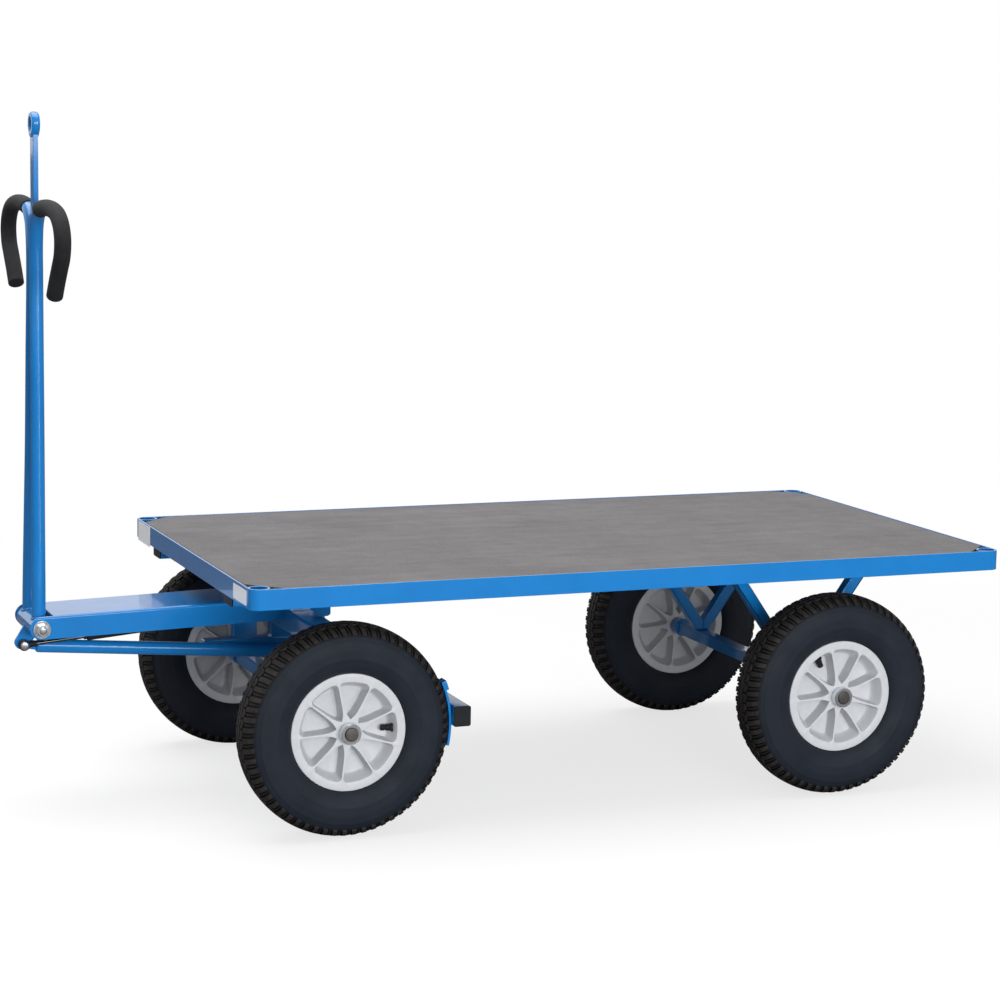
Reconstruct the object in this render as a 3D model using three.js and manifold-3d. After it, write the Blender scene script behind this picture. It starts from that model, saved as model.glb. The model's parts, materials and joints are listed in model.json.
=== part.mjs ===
// Platform trolley with turntable steering, pneumatic tyres and an upright drawbar that works the brake.
// Millimetres, +Z up, floor at Z = 0. The drawbar end is the front and points along -X.
// The model is laid out around the middle of the deck, then moved along X so that the origin
// sits under the middle of the whole trolley.
import * as THREE from 'three';
import { mergeVertices } from 'three/addons/utils/BufferGeometryUtils.js';
import Module from 'manifold-3d';

const wasm = await Module();
wasm.setup();

// ---------------------------------------------------------------- driving dimensions
const weldGap = 0.3;                 // left between pieces that touch

const deckLength = 1600;
const deckWidth = 900;
const deckTopZ = 495;
const frameHeight = 40;
const frameWall = 4;
const panelThickness = 18;
const panelClearance = 2;
const ledgeWidth = 30;
const ledgeThickness = 4;
const socketOuterRadius = 21.2;
const socketBoreRadius = 17;
const cornerReach = 50;              // how far a front or rear rail wraps round onto the sides
const panelCornerCut = 62;

const runnerWidth = 57;              // two tubes that run the length of the deck
const runnerBottomZ = 436;
const runnerSpacing = 556;
const runnerWall = 3;
const capThickness = 2;
const crossWidth = 40;

const tyreRadius = 206.5;
const tyreWidth = 105;
const rimFlangeRadius = 113.9;
const rimHalfWidth = 37.6;
const wheelTrack = 776;
const frontAxleX = -600;
const rearAxleX = 450;
const axleRadius = 12.5;
const axleOverhang = 57;             // from a wheel's middle to the end of the axle
const hubHalfLength = 38;
const hubRadius = 23;
const bearingRadius = 17.3;
const spokeCount = 9;
const spokePhase = THREE.MathUtils.degToRad(22.5);
const spokeRootHalf = 7;
const spokeTipHalf = 2.5;
const spokeTipRadius = 96;
const rimSides = 2 * spokeCount;
const tyreSides = 28;
const axleBeamSize = 28;
const axleBossRadius = 18.5;
const axleBeamHalf = 318;
const collarRadius = 20;
const collarLength = 16;

const strutSize = 25;
const strutSpread = 0.7;             // sideways travel of a rear strut per unit of height
const strutOffsetY = 228;

const bolsterWidth = 52;
const bolsterHeight = 46;
const bolsterBottomZ = 338;
const bolsterLength = 640;
const postOffsetY = 300;
const postThickness = 25;
const ringOuterRadius = 125;         // a small turntable, out of sight behind the deck's rails
const ringInnerRadius = 55;
const raceRadius = 103;
const lowerRingZ = 408.5;
const padOffsetY = 100;              // pads on the bolster that carry the lower ring
const padHalf = 20;
const guideBar = { x0: -763, x1: -560, y0: 16, y1: 46, topZ: 307, height: 20 };
const plateReach = 165;              // the turntable plate before and behind the front axle
const plateThickness = 6;

const hingeX = -1111.5;
const hingeZ = 367;
const beamWidth = 153;
const beamHeight = 45;
const beamWall = 4;
const beamLength = 585.5;            // from the drawbar hinge to the rear end
const beamSlope = THREE.MathUtils.degToRad(1.5);
const beamDrop = 20;                 // underside of the beam below the hinge
const beamPlateStart = 24;           // its top plate starts this far behind the hinge
const beamCorner = 8;
const barrelRadius = 21;
const hingeBoltRadius = 8;
const washerRadius = 15;
const washerThickness = 3;
const hexRadius = 12;
const hexHeight = 9;

const legRadius = 13.45;
const gripRadius = 15.8;
const eyeRadius = 23.5;
const eyeBoreRadius = 12.5;
const eyeThickness = 16;
const neckWidth = 30;
const neckThickness = 10;
const neckBottomZ = 1120;
const eyeZ = 1337;
const eyeX = -1103;

const leverPinX = -1135;
const leverPinZ = 327;
const leverEndRadius = 14;
const leverEndX = leverPinX - 3;     // the lever's round end is not quite centred on its pin
const leverEndZ = leverPinZ + 4;
const leverThickness = 6;
const leverY = -8.5;
const leverPinRadius = 5;
const pinHeadRadius = 8.5;
const pinHeadHeight = 4;

const springY = -19.5;
const springSlope = THREE.MathUtils.degToRad(5.07);
const springLength = 346;
const springRodRadius = 4;
const springBodyRadius = 9;
const springBodyStart = 124;         // from the lever pin to the front of the cylinder
const springEyeRadius = 11;

const brakeTubeRadius = 13.45;
const brakeBarSize = 35;
const brakeBarHeight = 40;
const brakeBarHalf = 421;
const brakeBarZ = 221.5;
const shoeGap = 0.8;
const shoeThickness = 5;
const shoeWidth = 48;
const shoeFromDegrees = -12;         // about the front axle, from the horizontal
const shoeToDegrees = 23;

// ---------------------------------------------------------------- derived sizes
const frameBottomZ = deckTopZ - frameHeight;
const halfLength = deckLength / 2;
const halfWidth = deckWidth / 2;
const ledgeTopZ = deckTopZ - panelThickness - weldGap;
const runnerTopZ = ledgeTopZ - ledgeThickness - weldGap;
const wheelY = wheelTrack / 2;
const axleZ = tyreRadius;
const foreEndX = leverEndX - leverEndRadius;
const shiftX = -(foreEndX + halfLength) / 2;

// ---------------------------------------------------------------- materials
function finish(color, roughness, metalness = 0) {
  return (name) => new THREE.MeshStandardMaterial({ name, color, roughness, metalness });
}
const paint = finish(0x2279bd, 0.35, 0.1);
const plastic = finish(0x16171a, 0.55);
const zinc = finish(0xb9c0c6, 0.35, 0.9);
const steel = finish(0x5d5a57, 0.5, 0.9);
const rubber = finish(0x1d1e20, 0.85);
const rimPlastic = finish(0xd9dbdf, 0.5);
const foam = finish(0x131416, 0.95);
const plywood = finish(0x66625f, 0.6);

// ---------------------------------------------------------------- solids and booleans
function solidOf(geometry) {
  const bare = geometry.clone();
  bare.deleteAttribute('normal');
  bare.deleteAttribute('uv');
  const merged = mergeVertices(bare, 1e-4);
  return new wasm.Manifold(new wasm.Mesh({
    numProp: 3,
    vertProperties: new Float32Array(merged.attributes.position.array),
    triVerts: new Uint32Array(merged.index.array),
  }));
}

function geometryOf(manifold) {
  const mesh = manifold.getMesh();
  const geometry = new THREE.BufferGeometry();
  geometry.setAttribute('position', new THREE.BufferAttribute(mesh.vertProperties, 3));
  geometry.setIndex(new THREE.BufferAttribute(mesh.triVerts, 1));
  geometry.computeVertexNormals();
  return geometry;
}

function join(...geometries) {
  return geometryOf(geometries.map(solidOf).reduce((whole, next) => whole.add(next)));
}

function cut(geometry, ...tools) {
  return geometryOf(tools.map(solidOf).reduce((whole, tool) => whole.subtract(tool), solidOf(geometry)));
}

function block(x0, x1, y0, y1, z0, z1) {
  const geometry = new THREE.BoxGeometry(x1 - x0, y1 - y0, z1 - z0);
  return geometry.translate((x0 + x1) / 2, (y0 + y1) / 2, (z0 + z1) / 2);
}

function cylinderY(radius, y0, y1, x, z, sides = 24) {
  const geometry = new THREE.CylinderGeometry(radius, radius, y1 - y0, sides);
  return geometry.translate(0, (y0 + y1) / 2, 0).translate(x, 0, z);
}

function cylinderZ(radius, z0, z1, x, y, sides = 24) {
  const geometry = new THREE.CylinderGeometry(radius, radius, z1 - z0, sides);
  return geometry.rotateX(Math.PI / 2).translate(x, y, (z0 + z1) / 2);
}

function cylinderX(radius, x0, x1, y, z, sides = 16) {
  const geometry = new THREE.CylinderGeometry(radius, radius, x1 - x0, sides);
  return geometry.rotateZ(Math.PI / 2).translate((x0 + x1) / 2, y, z);
}

// A flat outline in X and Z, given as [x, z] points, made into a plate between two Y values.
function plateXZ(points, y0, y1) {
  const outline = new THREE.Shape(points.map(([x, z]) => new THREE.Vector2(x, z)));
  const geometry = new THREE.ExtrudeGeometry(outline, { depth: y1 - y0, bevelEnabled: false });
  return geometry.rotateX(Math.PI / 2).translate(0, y1, 0);
}

function arcPoints(cx, cz, radius, fromDegrees, toDegrees, steps) {
  return Array.from({ length: steps + 1 }, (unused, i) => {
    const angle = THREE.MathUtils.degToRad(fromDegrees + (toDegrees - fromDegrees) * i / steps);
    return [cx + radius * Math.cos(angle), cz + radius * Math.sin(angle)];
  });
}

// A rectangular tube along X, open at both ends.
function boxTubeX(x0, x1, y, z, width, height, wall) {
  const outer = block(x0, x1, y - width / 2, y + width / 2, z - height / 2, z + height / 2);
  const inner = block(x0 - 1, x1 + 1, y - width / 2 + wall, y + width / 2 - wall,
    z - height / 2 + wall, z + height / 2 - wall);
  return cut(outer, inner);
}

// A ring about a line parallel to Y, from a closed [radius, y] profile.
function ringAboutY(profile, sides, x, z) {
  const points = profile.map(([radius, y]) => new THREE.Vector2(radius, y));
  points.push(points[0].clone());
  return new THREE.LatheGeometry(points, sides).translate(x, 0, z);
}

function ringAboutZ(profile, sides, x) {
  const points = profile.map(([radius, z]) => new THREE.Vector2(radius, z));
  points.push(points[0].clone());
  return new THREE.LatheGeometry(points, sides).rotateX(Math.PI / 2).translate(x, 0, 0);
}

function roundOutline(radius, sides) {
  return Array.from({ length: sides }, (unused, i) => {
    const angle = 2 * Math.PI * i / sides;
    return new THREE.Vector2(radius * Math.cos(angle), radius * Math.sin(angle));
  });
}

function tubeAlong(curve, radius, steps, sides, boreRadius = 0) {
  const outline = new THREE.Shape(roundOutline(radius, sides));
  if (boreRadius > 0) outline.holes.push(new THREE.Path(roundOutline(boreRadius, sides).reverse()));
  return new THREE.ExtrudeGeometry(outline, { steps, extrudePath: curve, bevelEnabled: false });
}

// ---------------------------------------------------------------- the trolley group
const trolley = new THREE.Group();
trolley.position.x = shiftX;

function addPiece(name, geometry, material) {
  const mesh = new THREE.Mesh(geometry, material);
  mesh.name = name;
  trolley.add(mesh);
  return mesh;
}

const handed = [['left', -1], ['right', 1]];

// ---------------------------------------------------------------- deck frame
// A front or rear rail carries the two round stake sockets and wraps a little way onto the sides.
function endRail(direction) {
  const socketX = direction * (halfLength - socketOuterRadius);
  const socketY = halfWidth - socketOuterRadius;
  const span = (a, b) => [Math.min(direction * a, direction * b), Math.max(direction * a, direction * b)];
  const web = block(...span(halfLength - frameWall, halfLength), -socketY, socketY, frameBottomZ, deckTopZ);
  const ledge = block(...span(halfLength - frameWall - ledgeWidth, halfLength - frameWall + 1),
    -socketY + socketOuterRadius, socketY - socketOuterRadius, ledgeTopZ - ledgeThickness, ledgeTopZ);
  const pieces = [web, ledge];
  const bores = [];
  for (const side of [1, -1]) {
    const edge = [side * halfWidth, side * (halfWidth - frameWall)].sort((a, b) => a - b);
    pieces.push(cylinderZ(socketOuterRadius, frameBottomZ, deckTopZ, socketX, side * socketY, 20));
    pieces.push(block(...span(halfLength - cornerReach, halfLength - socketOuterRadius), ...edge,
      frameBottomZ, deckTopZ));
    bores.push(cylinderZ(socketBoreRadius, frameBottomZ - 1, deckTopZ + 1, socketX, side * socketY, 20));
  }
  return cut(join(...pieces), ...bores);
}

function sideRail(side) {
  const reach = halfLength - cornerReach - weldGap;
  const edge = [side * halfWidth, side * (halfWidth - frameWall)].sort((a, b) => a - b);
  const ledge = [side * (halfWidth - frameWall + 1), side * (halfWidth - frameWall - ledgeWidth)];
  ledge.sort((a, b) => a - b);
  return join(
    block(-reach, reach, ...edge, frameBottomZ, deckTopZ),
    block(-reach, reach, ...ledge, ledgeTopZ - ledgeThickness, ledgeTopZ),
  );
}

addPiece('front_rail', endRail(-1), paint('front_rail'));
addPiece('rear_rail', endRail(1), paint('rear_rail'));
for (const [name, side] of handed) addPiece(`${name}_rail`, sideRail(side), paint(`${name}_rail`));

// ---------------------------------------------------------------- deck panel
function deckPanel() {
  const x = halfLength - frameWall - panelClearance;
  const y = halfWidth - frameWall - panelClearance;
  const c = panelCornerCut;
  const corners = [[x - c, y], [-x + c, y], [-x, y - c], [-x, -y + c],
    [-x + c, -y], [x - c, -y], [x, -y + c], [x, y - c]];
  const outline = new THREE.Shape(corners.map(([px, py]) => new THREE.Vector2(px, py)));
  const geometry = new THREE.ExtrudeGeometry(outline, { depth: panelThickness, bevelEnabled: false });
  return geometry.translate(0, 0, deckTopZ - panelThickness);
}
addPiece('deck_panel', deckPanel(), plywood('deck_panel'));

// ---------------------------------------------------------------- runners, their caps, cross members
const runnerEndX = halfLength - frameWall - weldGap - capThickness - weldGap;
const runnerHeight = runnerTopZ - runnerBottomZ;
const runnerMidZ = (runnerTopZ + runnerBottomZ) / 2;
for (const [name, side] of handed) {
  const y = side * runnerSpacing / 2;
  addPiece(`${name}_runner`,
    boxTubeX(-runnerEndX, runnerEndX, y, runnerMidZ, runnerWidth, runnerHeight, runnerWall),
    paint(`${name}_runner`));
  for (const [end, direction] of [['front', -1], ['rear', 1]]) {
    const x = [direction * (runnerEndX + weldGap), direction * (runnerEndX + weldGap + capThickness)];
    x.sort((a, b) => a - b);
    addPiece(`${end}_${name}_end_cap`,
      block(...x, y - runnerWidth / 2, y + runnerWidth / 2, runnerBottomZ, runnerTopZ),
      plastic(`${end}_${name}_end_cap`));
  }
}

const strutTopZ = runnerBottomZ - weldGap;
const axleBeamTopZ = axleZ + axleBeamSize / 2;
const strutReach = strutSpread * (strutTopZ - axleBeamTopZ);
const crossHalf = runnerSpacing / 2 - runnerWidth / 2 - weldGap;
addPiece('turntable_plate', block(frontAxleX - plateReach, frontAxleX + plateReach, -crossHalf, crossHalf,
  runnerBottomZ, runnerBottomZ + plateThickness), paint('turntable_plate'));
[rearAxleX - strutReach, rearAxleX + strutReach].forEach((x, i) => {
  const outer = block(x - crossWidth / 2, x + crossWidth / 2, -crossHalf, crossHalf,
    runnerBottomZ, runnerTopZ);
  const inner = block(x - crossWidth / 2 + runnerWall, x + crossWidth / 2 - runnerWall,
    -crossHalf - 1, crossHalf + 1, runnerBottomZ + runnerWall, runnerTopZ - runnerWall);
  const name = i === 0 ? 'front_cross_member' : 'rear_cross_member';
  addPiece(name, cut(outer, inner), paint(name));
});

// ---------------------------------------------------------------- turntable rings
const upperRingTopZ = runnerBottomZ - weldGap;
addPiece('turntable_upper_ring', ringAboutZ([
  [ringInnerRadius, upperRingTopZ - 5], [ringOuterRadius - 6, upperRingTopZ - 5],
  [ringOuterRadius - 6, lowerRingZ + 8], [ringOuterRadius, lowerRingZ + 8],
  [ringOuterRadius, upperRingTopZ], [ringInnerRadius, upperRingTopZ],
], 32, frontAxleX), paint('turntable_upper_ring'));
addPiece('turntable_lower_ring', ringAboutZ([
  [ringInnerRadius, lowerRingZ], [ringOuterRadius, lowerRingZ], [ringOuterRadius, lowerRingZ + 5],
  [raceRadius + 6, lowerRingZ + 5], [raceRadius + 6, upperRingTopZ - 9], [raceRadius, upperRingTopZ - 9],
  [raceRadius, lowerRingZ + 5], [ringInnerRadius, lowerRingZ + 5],
], 32, frontAxleX), paint('turntable_lower_ring'));

// ---------------------------------------------------------------- axles
function axleBeam(x) {
  const half = axleBeamSize / 2;
  const beam = block(x - half, x + half, -axleBeamHalf, axleBeamHalf, axleZ - half, axleZ + half);
  const bossEnd = wheelY - hubHalfLength - 1;
  const bosses = [-1, 1].map((side) => {
    const y = [side * (axleBeamHalf - 5), side * bossEnd].sort((a, b) => a - b);
    return cylinderY(axleBossRadius, ...y, x, axleZ, 20);
  });
  const bore = cylinderY(axleRadius + weldGap, -bossEnd - 1, bossEnd + 1, x, axleZ, 20);
  return cut(join(beam, ...bosses), bore);
}

for (const [name, x] of [['front', frontAxleX], ['rear', rearAxleX]]) {
  const reach = wheelY + axleOverhang;
  addPiece(`${name}_axle_beam`, axleBeam(x), paint(`${name}_axle_beam`));
  addPiece(`${name}_axle`, cylinderY(axleRadius, -reach, reach, x, axleZ, 20), steel(`${name}_axle`));
  for (const [sideName, side] of handed) {
    const near = side * (wheelY + hubHalfLength + 2 * weldGap);
    const far = near + side * collarLength;
    const y = [near, far].sort((a, b) => a - b);
    const collar = cut(cylinderY(collarRadius, ...y, x, axleZ, 24),
      cylinderY(axleRadius + weldGap, y[0] - 1, y[1] + 1, x, axleZ, 20));
    addPiece(`${name}_${sideName}_collar`, collar, zinc(`${name}_${sideName}_collar`));
  }
}

// Rear struts: two square tubes each side rise from the axle beam and part like a V.
const strutHalf = strutSize / 2 / Math.cos(Math.atan(strutSpread));
for (const [name, side] of handed) {
  for (const [end, direction] of [['front', -1], ['rear', 1]]) {
    const footZ = axleBeamTopZ + weldGap;
    const mitre = direction * weldGap / 2;
    const outline = [
      [rearAxleX + mitre, footZ],
      [rearAxleX + mitre, footZ + (strutHalf - weldGap) / strutSpread],
      [rearAxleX + direction * (strutReach - strutHalf), strutTopZ],
      [rearAxleX + direction * (strutReach + strutHalf), strutTopZ],
      [rearAxleX + direction * strutHalf, footZ],
    ];
    if (direction > 0) outline.reverse();
    const y = side * strutOffsetY;
    addPiece(`rear_${name}_${end}_strut`, plateXZ(outline, y - strutSize / 2, y + strutSize / 2),
      paint(`rear_${name}_${end}_strut`));
  }
}

// ---------------------------------------------------------------- steering bogie
const bolsterTopZ = bolsterBottomZ + bolsterHeight;
function bolster() {
  const half = bolsterWidth / 2;
  const bar = block(frontAxleX - half, frontAxleX + half, -bolsterLength / 2, bolsterLength / 2,
    bolsterBottomZ, bolsterTopZ);
  const pads = [-1, 1].map((side) => block(frontAxleX - half, frontAxleX + half,
    side * padOffsetY - padHalf, side * padOffsetY + padHalf, bolsterTopZ - 1, lowerRingZ - weldGap));
  // A bar hung under the bolster keeps the brake tube from wandering sideways.
  const { x0, x1, y0, y1, topZ, height } = guideBar;
  const guide = block(x0, x1, y0, y1, topZ - height, topZ);
  const hanger = block(frontAxleX - half + 4, frontAxleX + half - 4, y0, y1, topZ - 1, bolsterBottomZ + 1);
  return join(bar, ...pads, guide, hanger);
}
addPiece('bolster', bolster(), paint('bolster'));
for (const [name, side] of handed) {
  const y = side * postOffsetY;
  addPiece(`${name}_bogie_post`,
    block(frontAxleX - bolsterWidth / 2, frontAxleX + bolsterWidth / 2, y - postThickness / 2,
      y + postThickness / 2, axleBeamTopZ + weldGap, bolsterBottomZ - weldGap),
    paint(`${name}_bogie_post`));
}

// The drawbar beam is a channel, open below, with a full round ear on each side of the hinge.
function drawbarBeam() {
  const radius = beamHeight / 2;
  const midZ = radius - beamDrop;
  const topZ = beamHeight - beamDrop;
  const rear = beamLength;
  const corner = beamCorner;
  const wallOutline = [
    ...arcPoints(0, midZ, radius, 90, 270, 10),
    ...arcPoints(rear - corner, -beamDrop + corner, corner, -90, 0, 3),
    [rear, topZ],
  ];
  const pieces = [-1, 1].map((side) => {
    const y = [side * beamWidth / 2, side * (beamWidth / 2 - beamWall)].sort((a, b) => a - b);
    return plateXZ(wallOutline, ...y);
  });
  pieces.push(block(beamPlateStart, rear, -beamWidth / 2 + 1, beamWidth / 2 - 1, topZ - beamWall, topZ));
  pieces.push(block(rear - beamWall, rear, -beamWidth / 2 + 1, beamWidth / 2 - 1, -beamDrop + corner, topZ));
  const pivotX = springLength - 1 + leverPinX - hingeX;
  const springPivot = block(pivotX - 6, pivotX + 6, springY - 16, springY - 13, -14, topZ - 1);
  const beam = join(...pieces, springPivot).rotateY(-beamSlope).translate(hingeX, 0, hingeZ);
  const half = bolsterWidth / 2 + weldGap;
  const passage = block(frontAxleX - half, frontAxleX + half, -beamWidth, beamWidth,
    bolsterBottomZ - 20, bolsterTopZ + weldGap);
  const boltHole = cylinderY(hingeBoltRadius + weldGap, -beamWidth, beamWidth, hingeX, hingeZ, 20);
  return cut(beam, passage, boltHole);
}
addPiece('drawbar_beam', drawbarBeam(), paint('drawbar_beam'));

// Hinge bolt with its washer and nut at the right-hand end.
const earY = beamWidth / 2 + weldGap;
addPiece('hinge_bolt', join(
  cylinderY(hingeBoltRadius, -earY - washerThickness - hexHeight - 4, earY + hexHeight, hingeX, hingeZ, 16),
  ...[-1, 1].flatMap((side) => {
    const washer = [side * earY, side * (earY + washerThickness)].sort((a, b) => a - b);
    const hex = [side * (earY + washerThickness - 1), side * (earY + washerThickness + hexHeight)];
    hex.sort((a, b) => a - b);
    return [
      cylinderY(washerRadius, ...washer, hingeX, hingeZ, 18),
      cylinderY(hexRadius, ...hex, hingeX, hingeZ, 6),
    ];
  }),
), zinc('hinge_bolt'));

// ---------------------------------------------------------------- drawbar
function hingeBarrel() {
  const reach = beamWidth / 2 - beamWall - 0.6;
  const barrel = cylinderY(barrelRadius, -reach, reach, hingeX, hingeZ, 28);
  const away = Math.atan2(leverEndZ - hingeZ, leverEndX - hingeX) * 180 / Math.PI;
  const lever = plateXZ([
    ...arcPoints(leverEndX, leverEndZ, leverEndRadius, away - 90, away + 90, 10),
    ...arcPoints(hingeX, hingeZ, barrelRadius - 3, away + 90, away + 270, 6),
  ], leverY - leverThickness / 2, leverY + leverThickness / 2);
  const bore = cylinderY(hingeBoltRadius + 0.6, -beamWidth, beamWidth, hingeX, hingeZ, 20);
  const pinHole = cylinderY(leverPinRadius + weldGap, -50, 50, leverPinX, leverPinZ, 16);
  return cut(join(barrel, lever), bore, pinHole);
}
addPiece('hinge_barrel', hingeBarrel(), paint('hinge_barrel'));

addPiece('lever_pin', join(
  cylinderY(leverPinRadius, springY - 8, 6, leverPinX, leverPinZ, 16),
  cylinderY(pinHeadRadius, springY - 7 - pinHeadHeight, springY - 7, leverPinX, leverPinZ, 20),
  cylinderY(pinHeadRadius, 5, 5 + pinHeadHeight, leverPinX, leverPinZ, 6),
), zinc('lever_pin'));

// Each leg rises from the hinge barrel, closes in on its twin and bends out into a horn-shaped handle.
function legCurve(side) {
  const route = [
    [-1111.5, 46.8, 386], [-1111, 45.2, 430], [-1109, 36.8, 575], [-1107, 28.5, 720],
    [-1105.5, 20.8, 900], [-1104, 14.4, 1050], [-1104, 15.2, 1110], [-1104, 27, 1153],
    [-1104, 56, 1175], [-1104, 98, 1181], [-1104, 140, 1182], [-1104, 184, 1179],
    [-1104, 221, 1170], [-1104, 248, 1151], [-1104, 258.5, 1127], [-1104, 252, 1099],
    [-1104, 230, 1074], [-1104, 206, 1048], [-1104, 183, 1020],
  ];
  return new THREE.CatmullRomCurve3(route.map(([x, y, z]) => new THREE.Vector3(x, side * y, z)), false,
    'centripetal');
}

// The part of a curve between two fractions of its length.
class PartOfCurve extends THREE.Curve {
  constructor(whole, from, to) {
    super();
    this.whole = whole;
    this.from = from;
    this.to = to;
  }

  getPoint(t, target = new THREE.Vector3()) {
    return this.whole.getPointAt(this.from + (this.to - this.from) * t, target);
  }
}

const legSteps = 42;
const gripSteps = 13;
const gripStart = 1 - gripSteps / legSteps;
for (const [name, side] of handed) {
  const whole = legCurve(side);
  const barrelCut = cylinderY(barrelRadius + weldGap, -beamWidth, beamWidth, hingeX, hingeZ, 28);
  addPiece(`${name}_drawbar_leg`, cut(tubeAlong(whole, legRadius, legSteps, 10), barrelCut),
    paint(`${name}_drawbar_leg`));
  addPiece(`${name}_grip`, tubeAlong(new PartOfCurve(whole, gripStart, 1), gripRadius, gripSteps, 10,
    legRadius + 0.9), foam(`${name}_grip`));
}

// The eye's neck runs down as a wedge into the fork where the two legs part.
function towingEye() {
  const halfX = eyeThickness / 2;
  const ring = cylinderX(eyeRadius, eyeX - halfX, eyeX + halfX, 0, eyeZ, 28);
  const neck = block(eyeX - neckThickness / 2, eyeX + neckThickness / 2, -neckWidth / 2, neckWidth / 2,
    neckBottomZ, eyeZ - eyeBoreRadius - 2);
  const bore = cylinderX(eyeBoreRadius, eyeX - eyeThickness, eyeX + eyeThickness, 0, eyeZ, 24);
  const legs = handed.map(([, side]) => tubeAlong(legCurve(side), legRadius + weldGap, legSteps, 10));
  return cut(join(neck, ring), bore, ...legs);
}
addPiece('towing_eye', towingEye(), paint('towing_eye'));

// ---------------------------------------------------------------- gas spring under the beam
// It is laid along +X from the lever pin, then tilted up towards the rear about that pin.
function springPiece(geometry) {
  return geometry.rotateY(-springSlope).translate(leverPinX, springY, leverPinZ);
}
const rodEye = cut(
  join(cylinderY(springEyeRadius, -5.5, 5.5, 0, 0, 20), cylinderX(6, 6, 24, 0, 0, 12),
    cylinderX(springRodRadius, 20, springBodyStart + 40, 0, 0, 12)),
  cylinderY(leverPinRadius + 0.5, -10, 10, 0, 0, 16),
);
addPiece('gas_spring_rod', springPiece(rodEye), steel('gas_spring_rod'));
const cylinderBody = cut(
  join(cylinderX(springBodyRadius, springBodyStart, springLength - 18, 0, 0, 16),
    cylinderX(6, springBodyStart - 6, springBodyStart + 2, 0, 0, 12),
    cylinderX(5, springLength - 20, springLength + 6, 0, 0, 12)),
  cylinderX(springRodRadius + 0.5, springBodyStart - 10, springBodyStart + 120, 0, 0, 12),
);
addPiece('gas_spring_cylinder', springPiece(cylinderBody), plastic('gas_spring_cylinder'));

// ---------------------------------------------------------------- brake linkage
const shoeInnerRadius = tyreRadius + shoeGap;
const barFrontX = frontAxleX + shoeInnerRadius + shoeThickness + weldGap;
const brakeTubeFront = new THREE.Vector3(-1109, 0, 321);
const brakeTubeRear = new THREE.Vector3(barFrontX + brakeBarSize - 4, 0, brakeBarZ + brakeBarHeight / 2 + 18);
function brakeTube() {
  const length = brakeTubeFront.distanceTo(brakeTubeRear);
  const fall = Math.atan2(brakeTubeFront.z - brakeTubeRear.z, brakeTubeRear.x - brakeTubeFront.x);
  const hollow = cut(cylinderX(brakeTubeRadius, 0, length, 0, 0, 20),
    cylinderX(brakeTubeRadius - 2.5, 6, length + 1, 0, 0, 16));
  hollow.rotateY(fall).translate(brakeTubeFront.x, 0, brakeTubeFront.z);
  const tongueY = leverY + leverThickness / 2 + weldGap;
  const tongue = plateXZ([
    ...arcPoints(leverPinX, leverPinZ, 9, 60, 240, 8),
    [brakeTubeFront.x + 3, brakeTubeFront.z - 8],
    [brakeTubeFront.x + 3, brakeTubeFront.z + 9],
  ], tongueY, tongueY + 6);
  const saddle = block(barFrontX + 2, barFrontX + brakeBarSize - 2, -12, 12,
    brakeBarZ + brakeBarHeight / 2 + weldGap, brakeTubeRear.z - 2);
  const pinHole = cylinderY(leverPinRadius + 0.5, -20, 20, leverPinX, leverPinZ, 16);
  return cut(join(hollow, tongue, saddle), pinHole);
}
addPiece('brake_tube', brakeTube(), paint('brake_tube'));

const barRearX = barFrontX + brakeBarSize;
const barBottomZ = brakeBarZ - brakeBarHeight / 2;
const barTopZ = brakeBarZ + brakeBarHeight / 2;
addPiece('brake_bar', cut(
  block(barFrontX, barRearX, -brakeBarHalf, brakeBarHalf, barBottomZ, barTopZ),
  block(barFrontX + 3, barRearX - 3, -brakeBarHalf - 1, brakeBarHalf + 1, barBottomZ + 3, barTopZ - 3),
), paint('brake_bar'));
for (const [name, side] of handed) {
  const y = [side * (brakeBarHalf + weldGap), side * (brakeBarHalf + 3)].sort((a, b) => a - b);
  addPiece(`${name}_brake_bar_cap`, block(barFrontX, barRearX, ...y, barBottomZ, barTopZ),
    plastic(`${name}_brake_bar_cap`));
  // The shoe is a curved plate round the tread, with a stiffening block behind its upper end.
  const shoe = plateXZ([
    ...arcPoints(frontAxleX, axleZ, shoeInnerRadius, shoeFromDegrees, shoeToDegrees, 10),
    ...arcPoints(frontAxleX, axleZ, shoeInnerRadius + shoeThickness, shoeToDegrees, shoeFromDegrees, 10),
  ], side * wheelY - shoeWidth / 2, side * wheelY + shoeWidth / 2);
  const rib = plateXZ([
    ...arcPoints(frontAxleX, axleZ, shoeInnerRadius + shoeThickness - 1, 17, 22, 2),
    ...arcPoints(frontAxleX, axleZ, shoeInnerRadius + shoeThickness + 8, 22, 17, 2),
  ], side * wheelY - 14, side * wheelY + 14);
  const clear = block(barFrontX - weldGap, barRearX + 20, side * wheelY - 60, side * wheelY + 60,
    barBottomZ - weldGap, barTopZ + weldGap);
  addPiece(`${name}_brake_shoe`, cut(join(shoe, rib), clear), paint(`${name}_brake_shoe`));
}

// ---------------------------------------------------------------- wheels
const beadHalf = rimHalfWidth - 4.4;
const tyreHalf = tyreWidth / 2;
const sidewall = [
  [rimFlangeRadius - 13.2, beadHalf], [rimFlangeRadius + 1.2, beadHalf],
  [rimFlangeRadius + 2.5, rimHalfWidth + 3], [136, tyreHalf - 3], [166, tyreHalf],
  [188, tyreHalf - 7], [200, tyreHalf - 19], [tyreRadius, 14],
];
const tyreProfile = [
  ...sidewall.map(([radius, y]) => [radius, -y]),
  ...sidewall.map(([radius, y]) => [radius, y]).reverse(),
];

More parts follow.
